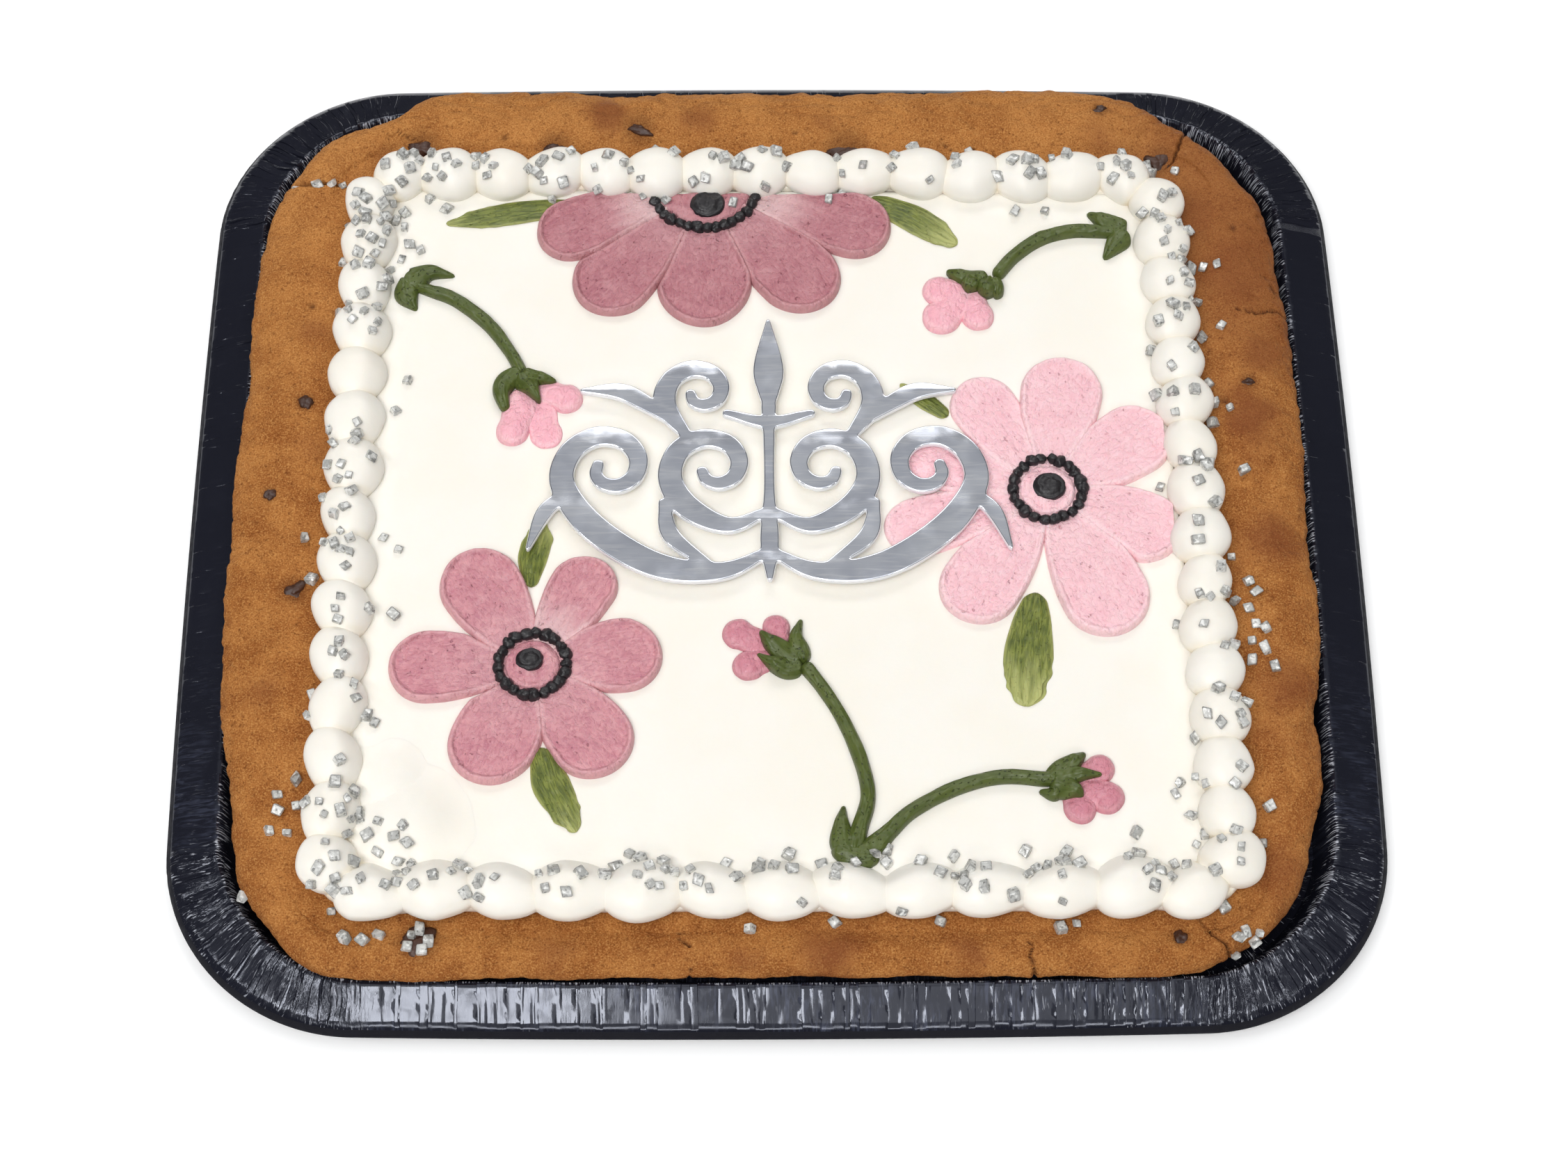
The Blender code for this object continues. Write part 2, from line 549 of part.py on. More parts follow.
def border_stations(draws):
    """Points round the border: place, outward direction and size, three to a bead."""
    centres = bead_centres(draws)
    count = len(centres)
    sizes = [draws.uniform(1.0 - BEAD_UNEVEN, 1.0 + BEAD_UNEVEN) for _ in centres]
    path, scale = [], []
    for i in range(count):
        for share in (-0.5, -0.2, 0.2):
            first = i if share >= 0.0 else i - 1
            four = [centres[(first + k) % count] for k in (-1, 0, 1, 2)]
            path.append(catmull_rom(four, share % 1.0))
            joint = BEAD_NECK * 0.5 * (sizes[i] + sizes[i - 1])
            scale.append(joint if share == -0.5 else sizes[i])
    outward = sides_of(path, closed=True)
    return list(zip(path, outward, scale))


def build_border(finish, draws):
    stations = border_stations(draws)
    rise = BEAD_TOP_Z - ICING_Z
    points = []
    for (x, y), (out_x, out_y), size in stations:
        reach = BEAD_RADIUS * size
        profile = ((-BORDER_CORE, ICING_BASE_Z), (5.0, ICING_BASE_Z), (reach, ICING_Z + 0.6),
                   (0.66 * reach, ICING_Z + 0.76 * rise * size), (-0.12 * reach, ICING_Z + rise * size),
                   (-0.86 * reach, ICING_Z + 0.55 * rise * size), (-0.8 * reach, FIELD_Z))
        for across, height in profile:
            points.append((x + out_x * across, y + out_y * across, height))
        points.append((x - out_x * BORDER_CORE, y - out_y * BORDER_CORE, FIELD_Z))
    border = new_object("piped_border", points, tube_faces(len(stations), 8), finish)
    crystals = border_crystals(border, stations, draws)
    applied(border, gather("border_crystals", crystals), "UNION")
    keep_largest_body(border)
    return border


def border_crystals(border, stations, draws):
    """Crystals bedded in the beads, thicker where the cake has more of them."""
    tree = tree_of(border)
    starts = [sum(BORDER_BEADS[:side]) * BEAD_STATIONS for side in range(4)]
    found = []
    for side, start, end, lean, number in BORDER_CRYSTALS:
        for _ in range(number):
            along = int(BORDER_BEADS[side] * BEAD_STATIONS * draws.uniform(start, end))
            (x, y), (out_x, out_y), size = stations[(starts[side] + along) % len(stations)]
            across = BEAD_RADIUS * size * min(max(draws.gauss(lean, 0.42), -0.72), 0.72)
            x, y = x + out_x * across, y + out_y * across
            z = surface_height(tree, x, y, BEAD_TOP_Z)
            wide = draws.uniform(*CRYSTAL_SIZE)
            if z < ICING_Z + 3.2:
                continue
            found.append(crystal("crystal", (x, y, z + 0.1 * wide), wide, draws))
    return found


def build_icing(finish, stations, draws):
    outline = [(x - out_x * (BORDER_CORE + GAP + 0.1), y - out_y * (BORDER_CORE + GAP + 0.1))
               for (x, y), (out_x, out_y), _ in stations[1::BEAD_STATIONS]]
    outline.reverse()
    icing = loft("icing_sheet", [[(x, y, ICING_BASE_Z) for x, y in outline],
                                 [(x, y, ICING_Z) for x, y in outline]], finish)
    crystals = []
    for x, y in ICING_CRYSTALS:
        size = draws.uniform(*CRYSTAL_SIZE)
        crystals.append(crystal("crystal", (x, y, ICING_Z + 0.25 * size), size, draws))
    applied(icing, gather("icing_crystals", crystals), "UNION")
    keep_largest_body(icing)
    return icing


def trim_to_field(target):
    """Cuts off what would run under the border's beads, and closes the cut."""
    bm = bmesh.new()
    bm.from_mesh(target.data)
    for side in range(4):
        (x0, y0), (x1, y1) = BORDER_CORNERS[side], BORDER_CORNERS[(side + 1) % 4]
        length = math.hypot(x1 - x0, y1 - y0)
        out_x, out_y = -(y1 - y0) / length, (x1 - x0) / length
        edge = Vector(((x0 - out_x * FIELD_INSET) * MM, (y0 - out_y * FIELD_INSET) * MM, 0.0))
        cut = bmesh.ops.bisect_plane(bm, geom=bm.verts[:] + bm.edges[:] + bm.faces[:], plane_co=edge,
                                     plane_no=Vector((out_x, out_y, 0.0)), clear_outer=True)
        rim = [made for made in cut["geom_cut"] if isinstance(made, bmesh.types.BMEdge)]
        if rim:
            bmesh.ops.holes_fill(bm, edges=rim)
    bmesh.ops.recalc_face_normals(bm, faces=bm.faces)
    bm.to_mesh(target.data)
    bm.free()
    return target


# Flowers

def petal_outline(length, tip, left, right):
    """Outline points in the petal's own axes, each with its outward direction.

    The outline wraps a small circle at the root and the round end, and stays
    between the two lines that part it from its neighbours.
    """
    far = length - tip
    lean = math.pi / 2.0 + math.asin((tip - PETAL_ROOT) / (far - PETAL_START))
    places = []
    for share in (0.0, 0.45):
        radius = lerp(PETAL_ROOT, tip, share ** PETAL_FULLNESS)
        places.append((lerp(PETAL_START, far, share), radius, -lean))
    for step in range(9):
        places.append((far, tip, lerp(-lean, lean, step / 8)))
    for share in (0.45, 0.0):
        radius = lerp(PETAL_ROOT, tip, share ** PETAL_FULLNESS)
        places.append((lerp(PETAL_START, far, share), radius, lean))
    outline = []
    for along, radius, angle in places:
        u = along + radius * math.cos(angle)
        v = radius * math.sin(angle)
        v = min(max(v, 0.5 * GAP - u * math.tan(right)), u * math.tan(left) - 0.5 * GAP)
        outline.append((u, v, math.cos(angle), math.sin(angle)))
    return outline


def petal_rings(length, tip, rise, left, right):
    """Outline, rim and dish of a petal as u, v and height."""
    outline = petal_outline(length, tip, left, right)
    rings = [[(u, v, 0.0) for u, v, _, _ in outline]]
    for inset, top, root_top in ((PETAL_RIM, rise, PETAL_ROOT_RISE), (3.4, 0.5 * rise, 0.7)):
        ring = []
        for u, v, out_u, out_v in outline:
            step = min(inset, 0.5 * abs(v) + 0.6 * max(out_u, 0.0) * inset)
            grown = smoothstep(14.0, 0.75 * length, u)
            ring.append((u - step * out_u, v - step * out_v, lerp(root_top, top, grown)))
        rings.append(ring)
    return rings


def build_flower(name, flower, petal_finish, dark_finish):
    centre_x, centre_y = flower["centre"]
    petals = flower["petals"]
    for i, (angle, length, tip, rise) in enumerate(petals):
        left, right = half_sectors(petals, i)
        turn = math.radians(angle)
        rings = []
        for ring in petal_rings(length, tip, rise, left, right):
            placed = []
            for u, v, height in ring:
                placed.append((centre_x + u * math.cos(turn) - v * math.sin(turn),
                               centre_y + u * math.sin(turn) + v * math.cos(turn), FIELD_Z + height))
            rings.append(placed)
        trim_to_field(loft(f"petal_{name}_{i + 1}", rings, petal_finish))
    build_ring(name, flower, dark_finish)
    shift_x, shift_y = flower["dot_shift"]
    blob(f"dot_{name}", centre_x + shift_x, centre_y + shift_y, flower["dot"], DOT_RISE, dark_finish, RING_Z)


def half_sectors(petals, i):
    """The angles, in radians, from a petal's axis to the lines between it and its neighbours."""
    halves = []
    for other, sign in ((petals[(i + 1) % len(petals)], 1.0), (petals[i - 1], -1.0)):
        apart = (sign * (other[0] - petals[i][0])) % 360.0
        share = petals[i][2] / (petals[i][2] + other[2])
        halves.append(math.radians(min(apart * share, 60.0)))
    return halves


def build_ring(name, flower, finish):
    """A ring of small beads."""
    centre_x, centre_y = flower["centre"]
    stations = RING_BEADS * 2
    points = []
    for step in range(stations):
        angle = math.tau * step / stations
        size = RING_BEAD_RADIUS * (1.0 if step % 2 else 0.68)
        for across, up in ((1.0, 0.0), (0.0, 1.0), (-1.0, 0.0), (0.0, -0.62)):
            reach = flower["ring"] + across * size
            points.append((centre_x + reach * math.cos(angle), centre_y + reach * math.sin(angle),
                           RING_Z + size * (0.62 + up)))
    trim_to_field(new_object(f"ring_{name}", points, tube_faces(stations, 4), finish))


def blob(name, x, y, radius, rise, finish, base=FIELD_Z):
    """A piped dot: round, flat below and domed above."""
    rings = []
    for share, height in ((0.86, 0.0), (1.0, 0.4), (0.72, 0.84), (0.3, 1.0)):
        ring = []
        for step in range(BLOB_SIDES):
            angle = math.tau * step / BLOB_SIDES
            ring.append((x + radius * share * math.cos(angle), y + radius * share * math.sin(angle),
                         base + rise * height))
        rings.append(ring)
    return trim_to_field(loft(name, rings, finish))


# Leaves, sprigs and topper

def stroke(name, points, steps, rise, finish=None):
    """A piped stroke with a flat underside along points of x, y and width."""
    path = smooth_path(points, steps)
    rings = []
    for (x, y, width), (side_x, side_y) in zip(path, sides_of(path)):
        height = rise(width)
        ring = []
        for across, up in ((-1.0, 0.0), (-0.72, 0.72), (0.0, 1.0), (0.72, 0.72), (1.0, 0.0)):
            ring.append((x + side_x * across * width / 2, y + side_y * across * width / 2,
                         FIELD_Z + height * up))
        rings.append(ring)
    return trim_to_field(loft(name, rings, finish))


def build_leaves(finish):
    for name, points in LEAVES.items():
        stroke(name, points, 2, lambda width: min(LEAF_RISE, 0.3 + 0.3 * width), finish)


def build_sprigs(finish):
    for name, strokes in SPRIGS.items():
        bodies = []
        for points in strokes:
            steps = 2 if len(points) > 4 else 1
            bodies.append(stroke(name, points, steps, lambda width: min(0.72 * width, 3.2)))
        whole = bodies.pop(0)
        whole.name = name
        whole.data.materials.append(finish)
        applied(whole, gather(name + "_strokes", bodies), "UNION")
        keep_largest_body(whole)


def scroll_points(lead, scroll):
    """Points of a scroll stroke: its lead-in, then a spiral in to its eye."""
    points = list(lead)
    if scroll:
        x, y, radius_from, radius_to, start, sweep, width_from, width_to = scroll
        count = round(sweep / SCROLL_STEP)
        for step in range(count + 1):
            share = step / count
            angle = math.radians(start + sweep * share)
            radius = lerp(radius_from, radius_to, share ** 0.8)
            points.append((x + radius * math.cos(angle), y + radius * math.sin(angle),
                           lerp(width_from, width_to, share)))
    return points


def ribbon(name, points, finish=None):
    """A flat stroke of the topper, of even thickness."""
    rings = []
    for (x, y, width), (side_x, side_y) in zip(points, sides_of(points)):
        dx, dy = side_x * width / 2, side_y * width / 2
        rings.append([(x - dx, y - dy, TOPPER_Z), (x + dx, y + dy, TOPPER_Z),
                      (x + dx, y + dy, TOPPER_Z + TOPPER_THICK), (x - dx, y - dy, TOPPER_Z + TOPPER_THICK)])
    return loft(name, rings, finish)


def build_topper(finish):
    strokes = [smooth_path(points, 2) for points in TOPPER_MIDDLE]
    for lead, scroll in TOPPER_HALF:
        points = scroll_points(lead, scroll)
        if scroll is None:
            points = smooth_path(points, 2)
        strokes.append(points)
        strokes.append([(-x, y, width) for x, y, width in points])
    bodies = []
    for points in strokes:
        bodies.append(ribbon("ribbon", [(x + TOPPER_X, y, width) for x, y, width in points]))
    whole = bodies.pop(0)
    whole.name = "topper"
    whole.data.materials.append(finish)
    applied(whole, gather("ribbons", bodies), "UNION")
    keep_largest_body(whole)


def main():
    for made in list(bpy.data.objects):
        bpy.data.objects.remove(made, do_unlink=True)
    tray_black = material("tray_black", (0.012, 0.012, 0.02), 0.22)
    baked = material("baked_cookie", (0.40, 0.17, 0.05), 0.75)
    white_icing = material("white_icing", (0.89, 0.87, 0.80), 0.45)
    mauve_icing = material("mauve_icing", (0.55, 0.20, 0.25), 0.5)
    pink_icing = material("pink_icing", (0.86, 0.42, 0.47), 0.5)
    dark_icing = material("dark_icing", (0.015, 0.012, 0.013), 0.45)
    green_icing = material("green_icing", (0.08, 0.11, 0.025), 0.5)
    mirror = material("mirror_topper", (0.62, 0.64, 0.70), 0.12, metallic=1.0)

    draws = random.Random(9)
    build_tray(tray_black)
    build_cookie(baked, draws)
    stations = border_stations(random.Random(21))
    build_border(white_icing, random.Random(21))
    build_icing(white_icing, stations, draws)
    build_flower("top", FLOWERS["top"], mauve_icing, dark_icing)
    build_flower("left", FLOWERS["left"], mauve_icing, dark_icing)
    build_flower("right", FLOWERS["right"], pink_icing, dark_icing)
    build_leaves(green_icing)
    build_sprigs(green_icing)
    for name, (x, y, radius, rise) in BUDS.items():
        blob(name, x, y, radius, rise, mauve_icing if "near" in name else pink_icing)
    build_topper(mirror)


main()
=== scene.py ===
"""Looks of the cookie cake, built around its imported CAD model.

Lengths here are millimetres in the CAD model's axes, and make() turns them into
metres. Names that part.py also has mean the same as there. Their values are the
same too, apart from those of some decorations, cracks and crystals, finer here.
"""

import json
import math
import random

import bmesh
import bpy
import numpy as np
from mathutils import Matrix, Vector
from mathutils.bvhtree import BVHTree

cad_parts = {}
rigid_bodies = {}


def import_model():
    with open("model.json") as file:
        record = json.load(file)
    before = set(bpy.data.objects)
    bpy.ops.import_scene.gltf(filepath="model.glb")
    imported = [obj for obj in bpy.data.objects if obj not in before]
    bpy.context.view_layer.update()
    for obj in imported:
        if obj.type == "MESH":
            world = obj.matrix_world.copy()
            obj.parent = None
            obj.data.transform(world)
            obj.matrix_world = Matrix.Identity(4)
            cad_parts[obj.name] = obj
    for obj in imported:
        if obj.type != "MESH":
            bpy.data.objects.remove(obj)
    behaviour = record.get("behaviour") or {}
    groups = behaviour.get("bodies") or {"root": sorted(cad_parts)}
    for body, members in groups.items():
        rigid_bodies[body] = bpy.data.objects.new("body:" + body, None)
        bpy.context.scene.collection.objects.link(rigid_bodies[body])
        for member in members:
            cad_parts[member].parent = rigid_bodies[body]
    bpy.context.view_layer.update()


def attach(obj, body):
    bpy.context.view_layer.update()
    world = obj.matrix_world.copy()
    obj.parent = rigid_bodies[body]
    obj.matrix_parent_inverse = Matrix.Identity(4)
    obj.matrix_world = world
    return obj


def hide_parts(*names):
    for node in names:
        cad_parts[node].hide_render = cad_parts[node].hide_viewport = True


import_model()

MM = 0.001
GAP = 0.3                       # between one solid and the next

# Camera and light
CAMERA_TARGET = (2.5, -11.7, 0.0)
CAMERA_DISTANCE = 988.0
CAMERA_ELEVATION = 62.0         # in degrees, as the next two
CAMERA_YAW = -1.55
CAMERA_ROLL = 1.20
CAMERA_LENS = 75.6
SOFTBOX_DISTANCE = 3000.0
SOFTBOXES = (                   # degrees from straight above towards the camera, x, size, power
    (23.0, -350.0, (1700.0, 1100.0), 8.0),
    (27.0, -540.0, (600.0, 700.0), 20.0),
    (50.0, -160.0, (1500.0, 240.0), 10.5),
    (12.0, -2600.0, (560.0, 560.0), 15.0),
    (24.0, -1400.0, (560.0, 560.0), 15.0),
    (12.0, 2620.0, (360.0, 360.0), 5.6),
    (24.0, 1430.0, (360.0, 360.0), 5.6),
    (-1.0, 0.0, (2200.0, 1100.0), 8.5),
    (-50.0, 0.0, (2400.0, 800.0), 25.0),
)
SKY_TOP = 0.46
SKY_LOW = 0.11
SKY_FRONT = 0.45
FLOOR_HALF = 4000.0

# Tray
TRAY_HALF_X = 172.5
TRAY_HALF_Y = 159.0
TRAY_CORNER = 54.0
TRAY_BOW = 2.4
TRAY_SHEET = (                  # inward from the outer edge, height, share of the pleats
    (60.0, 0.8, 0.0), (19.8, 0.8, 0.0), (18.7, 1.4, 0.5), (17.5, 4.4, 1.0), (16.2, 8.4, 1.0),
    (15.2, 11.6, 1.0), (14.5, 13.5, 1.0), (14.0, 14.3, 0.9), (13.4, 14.6, 0.8), (12.8, 14.55, 0.8),
    (12.2, 14.3, 0.8), (10.8, 13.75, 1.0), (8.8, 12.95, 1.0), (6.8, 12.15, 1.0), (4.8, 11.35, 1.0),
    (3.7, 10.9, 0.8), (3.0, 10.55, 0.3), (2.2, 10.0, 0.2), (1.5, 9.5, 0.3), (0.8, 8.6, 0.5),
    (0.1, 7.6, 0.4), (0.1, 7.1, 0.2), (0.6, 7.0, 0.2), (1.5, 8.0, 0.6), (2.9, 9.5, 0.6),
    (7.6, 11.4, 1.0), (12.4, 13.3, 0.6), (13.5, 13.2, 0.5), (14.1, 12.4, 0.8), (15.8, 6.8, 1.0),
    (17.6, 1.0, 0.5), (19.2, 0.0, 0.0), (60.0, 0.0, 0.0),
)
UNDERSIDE_ROW = 20              # where the sheet's underside begins
TRAY_STEPS = (160, 240)         # points along a corner and along a side of the tray's outlines
TRAY_FLOOR_Z = 0.8
TRAY_RIDGE_Z = 14.6
CORNER_PITCH = (1.0, 3.2)       # spacing of the creases
SIDE_PITCH = (1.1, 6.5)
CORNER_PLEAT = (0.14, 0.42)     # depth of the creases
SIDE_PLEAT = (0.01, 0.05)
SIDE_CREASE = 0.14              # half the width of a crease
LIP_INSET = 1.6                 # the board's bare lip begins this far from the edge
CORNER_SLOPE = 0.15             # slope of the facets between creases, along and across the rim
SIDE_SLOPE = 0.028
CRUMPLE = 0.3
SIDE_CRUMPLE = 0.05             # share of the crumpling that the sides have
RIDGE_IN = (1.3, 1.5)           # how far in the ridge lies at the left and right, and more in the corners

# Cookie slab
COOKIE_MIDDLE = (-1.7, 2.0)
COOKIE_HALF_X = 158.4
COOKIE_HALF_Y = 148.2
COOKIE_CORNER = 66.0
COOKIE_BOW = 1.0
COOKIE_TOP_Z = 21.6
COOKIE_CREST_Z = 22.6
COOKIE_SHOULDER = (             # share of the way in to the flat top, height, share of the far puff
    (0.08, 20.2, 0.5), (0.26, 22.0, 0.9), (0.52, COOKIE_CREST_Z, 1.0), (0.80, 22.1, 0.6),
    (1.0, COOKIE_TOP_Z, 0.0),
)
COOKIE_ROWS = (1, 3, 4, 5, 6, 9, 9, 6, 2)   # rows from each ring of the slab to the next
UNDER_ICING = 0.8738            # share of the relief that the last rows have
FLAT_MIDDLE = (0.2, -4.8)
FLAT_HALF_X = 134.6
FLAT_HALF_Y = 129.4
FLAT_CORNER = 16.0
FAR_PUFF = 3.0
COOKIE_LOBES = (                # direction in degrees, how far out, width in degrees
    (8, 0.6, 9.0), (28, -2.0, 4.0), (37, -1.1, 5.0), (46, -2.2, 5.0), (55, 0.7, 5.0), (64, 1.7, 6.0),
    (108, -0.6, 5.0), (119, 1.0, 6.0), (131, -4.3, 4.0), (141, -1.0, 5.0), (151, -1.9, 6.0),
    (162, -1.9, 7.0), (210, -4.9, 6.0), (219, 2.5, 5.0), (228, 6.5, 6.0), (309, 4.2, 5.0),
    (317, 3.9, 5.0), (325, -1.0, 6.0), (335, -2.3, 7.0), (346, 0.8, 7.0),
)
CRACKS = (                      # width, depth, then points from the rim inward
    (1.3, 3.2, ((-151.0, 114.5), (-144.0, 113.4), (-138.0, 114.2), (-134.0, 114.4))),
    (1.0, 3.0, ((158.0, 66.2), (153.0, 67.6), (149.0, 66.4), (145.0, 66.6), (141.4, 68.0))),
    (0.9, 2.6, ((131.5, 135.0), (128.2, 129.6), (126.4, 125.0), (123.0, 119.5))),
    (0.9, 2.6, ((126.5, -144.0), (123.4, -139.6), (119.6, -137.0), (117.5, -133.5))),
    (0.8, 2.2, ((70.5, -147.0), (69.0, -143.0), (69.6, -140.0), (68.4, -137.5))),
    (0.8, 2.2, ((-24.8, -139.5), (-27.6, -137.2), (-27.2, -134.0))),
    (0.5, 1.0, ((-25.0, -147.5), (-24.4, -143.6))),
    (0.5, 0.9, ((53.0, 129.0), (57.0, 126.6), (63.0, 127.4), (70.0, 125.6))),
    (0.5, 0.9, ((6.0, 132.5), (9.4, 131.6), (12.0, 132.6))),
    (0.5, 0.8, ((-118.0, 133.0), (-112.0, 130.2), (-106.0, 128.6), (-98.0, 125.6))),
)
CHIPS = (                       # x, y, length, width
    (-110.2, 128.4, 9.0, 5.0), (-68.6, 127.6, 8.0, 4.5), (-42.3, 133.9, 8.5, 3.5),
    (22.6, 127.4, 11.0, 6.0), (121.2, 123.0, 7.5, 6.0), (103.2, 140.4, 4.5, 3.0),
    (-140.6, -28.0, 7.0, 6.0), (-141.0, 35.7, 5.0, 4.5), (-149.6, 3.6, 4.0, 3.5),
    (-99.6, -137.4, 10.0, 8.0), (110.8, -137.0, 4.5, 4.5), (143.2, 42.0, 4.5, 2.5),
)
CHIP_RISE = 0.7
PINHOLES = (
    (142.4, 97.7), (153.7, 75.9), (103.0, 141.6), (135.7, 35.9), (-84.0, 131.0), (-141.0, 70.0),
)
BAKED_SPOTS = (                 # x, y, radius, how brown
    (-52.0, 139.0, 9.0, 0.8), (-24.0, 138.0, 8.0, 0.7), (16.0, 136.0, 7.0, 0.5), (130.0, 103.0, 8.0, 0.8),
    (146.0, 84.0, 8.0, 0.9), (148.0, 51.0, 7.0, 0.6), (143.0, 30.0, 9.0, 0.9), (147.0, -10.0, 11.0, 0.6),
    (146.0, -62.0, 12.0, 0.5), (-147.0, -60.0, 9.0, 0.5), (-138.0, 20.0, 9.0, 0.5), (-140.0, 60.0, 9.0, 0.6),
    (14.0, -141.0, 13.0, 0.7), (52.0, -141.0, 9.0, 0.7), (-62.0, -141.0, 10.0, 0.6), (100.0, 132.0, 9.0, 0.4),
    (-120.0, 122.0, 9.0, 0.4), (-8.0, -143.0, 7.0, 0.6), (141.0, -118.0, 12.0, 0.5),
)
COOKIE_STEPS = (130, 230)       # points along a corner and along a side of its rings

# Icing sheet and piped border
ICING_Z = 25.0
ICING_BASE_Z = COOKIE_TOP_Z + GAP
BORDER_CORNERS = ((-124.6, 114.2), (118.2, 112.2), (126.0, -124.6), (-125.2, -124.6))
BORDER_BEADS = (15, 16, 13, 15)
BORDER_BOWS = (2.2, 1.6, 0.6, 0.4)
BEAD_RADIUS = 8.5
BEAD_TOP_Z = 33.0
BEAD_UNEVEN = 0.07
BEAD_DRIFT = 0.5
BEAD_WAIST_Z = 27.4             # where a bead is widest
BORDER_CORE = 2.6
BEAD_FRONT = 0.60               # reach of a bead each way, as a share of the spacing
BEAD_TAIL = 0.70
BEAD_DROP = 0.22
BEAD_FOOT = 5.0
BEAD_FOOT_Z = 26.6
BEAD_BLEND = (0.0, 0.0, 0.16, 0.04)     # how much farther each side's beads spread into the field
BEAD_SINK = (0.4, 0.4, 2.0, 0.8)        # how far their widest line drops there
CORNER_MASS = (                 # x, y, reach each way, height: icing heaped up in the near-left corner
    (-104.0, -104.0, 24.0, 23.0, 29.4), (-110.0, -93.0, 17.0, 20.0, 28.2),
)
MASS_SHAPE = 6.0                # how gently a heap runs out: 1 is a dome
MASS_FOOT_Z = ICING_Z - 0.15
BEAD_SIZES = {0: 0.95, 30: 1.12, 31: 0.86}      # of a few beads, by number, beside the others
FIELD_GRID = (180, 172)         # points of the icing sheet along x and y
FIELD_WIDTH = 235.0             # of the sheet, roughly

# Silver sugar crystals
CRYSTAL_SIZE = (2.4, 3.8)
COOKIE_CRYSTALS = (             # x, y of those that lie singly on the cookie
    (-148.4, 114.0), (-141.8, 113.2), (-137.4, 113.9), (-133.8, 114.4), (-143.0, -104.5), (-141.3, -93.5),
    (-136.3, -88.6), (-135.8, -96.6), (-120.0, -137.0), (-115.1, -137.6), (-110.8, -136.0),
    (-101.5, -136.2), (-97.0, -137.8), (-98.6, -140.6), (-102.6, -139.6), (-99.4, -134.4),
    (127.0, -137.6), (130.6, -139.4), (133.0, -135.6), (126.3, -141.0), (129.0, -136.0), (131.6, -137.4),
    (138.6, -98.4), (137.6, -35.0), (139.2, -40.2), (137.8, -45.6), (141.2, -48.4), (142.0, -41.6),
    (136.6, 84.6), (136.2, -109.3), (137.4, -52.0), (143.6, -54.6), (140.0, -30.0), (138.0, -26.4),
    (136.4, 62.0), (137.0, 33.0), (-149.1, -122.1), (-146.3, -126.8), (139.6, 11.4), (-138.6, -11.0),
)
ICING_CRYSTALS = (              # and on the icing
    (-108.5, 88.0), (-101.0, 103.0), (-110.5, 41.0), (-110.4, -16.6), (-110.8, -38.2),
    (74.6, 101.6), (100.0, -107.4), (-104.6, -106.0), (113.6, 3.6), (113.7, 51.0), (84.1, 102.0),
    (-113.4, 30.3), (-114.9, -12.7), (-107.1, -109.1), (30.0, -112.4), (68.7, -112.9), (-114.5, -72.7),
)
CRYSTAL_GROUPS = (              # middle, spread along x and y, how many: the heaps at the corners
    (-123.0, -119.0, 5.0, 5.0, 11), (-112.0, -109.0, 5.0, 5.0, 5), (-106.0, -120.0, 3.0, 4.0, 7),
    (-123.0, -101.0, 4.0, 3.0, 7), (-87.0, -121.0, 4.0, 3.0, 4), (-136.0, -99.0, 3.0, 5.0, 3),
    (-122.0, 60.0, 3.0, 4.0, 5), (-128.0, 63.0, 2.0, 3.0, 3), (-121.0, 72.0, 3.0, 3.0, 4),
    (-128.0, 80.0, 2.5, 3.0, 5), (-122.0, 85.0, 3.5, 4.0, 8), (-122.0, 100.0, 4.0, 3.5, 9),
    (-124.0, 94.0, 3.0, 3.0, 6), (-108.0, 116.0, 4.0, 3.0, 7), (-105.0, 112.0, 4.0, 4.0, 4),
    (-93.0, 116.0, 4.0, 3.0, 6), (-77.0, 114.0, 6.0, 4.0, 5), (-123.0, 115.0, 4.0, 2.0, 2),
    (110.0, 115.0, 7.0, 4.0, 9), (121.0, 98.0, 5.0, 5.0, 8), (124.0, 83.0, 4.0, 4.0, 7),
    (127.0, 71.0, 3.0, 3.0, 5), (122.0, 62.0, 3.0, 2.0, 3), (123.0, 51.0, 4.0, 5.0, 5),
    (126.0, -82.0, 5.0, 6.0, 4), (120.0, -97.0, 4.0, 5.0, 5), (120.0, -116.0, 5.0, 5.0, 9),
    (103.0, -119.0, 4.0, 4.0, 8), (80.0, -117.0, 4.0, 3.0, 5), (79.0, -131.0, 4.0, 2.0, 3),
)
CRYSTAL_DRIFTS = (              # side, from and to as a share of it, lean outward, spread, how many
    (0, 0.22, 0.40, 0.0, 0.6, 14), (0, 0.40, 0.78, -0.1, 0.6, 24), (0, 0.78, 0.90, 0.0, 0.6, 9),
    (1, 0.32, 0.62, 0.1, 0.6, 18), (1, 0.62, 0.80, 0.3, 0.6, 12),
    (2, 0.20, 0.48, -0.1, 0.7, 22), (2, 0.48, 0.75, -0.3, 0.6, 26), (2, 0.75, 0.86, -0.2, 0.6, 6),
    (3, 0.14, 0.38, 0.1, 0.6, 14), (3, 0.38, 0.62, 0.3, 0.6, 22),
)
CRYSTAL_BEVEL = 0.2
EDGE_FACE = 1.6                 # a crystal's faces below this many square millimetres are its edges
RAY_START = 0.1                 # in metres, above everything

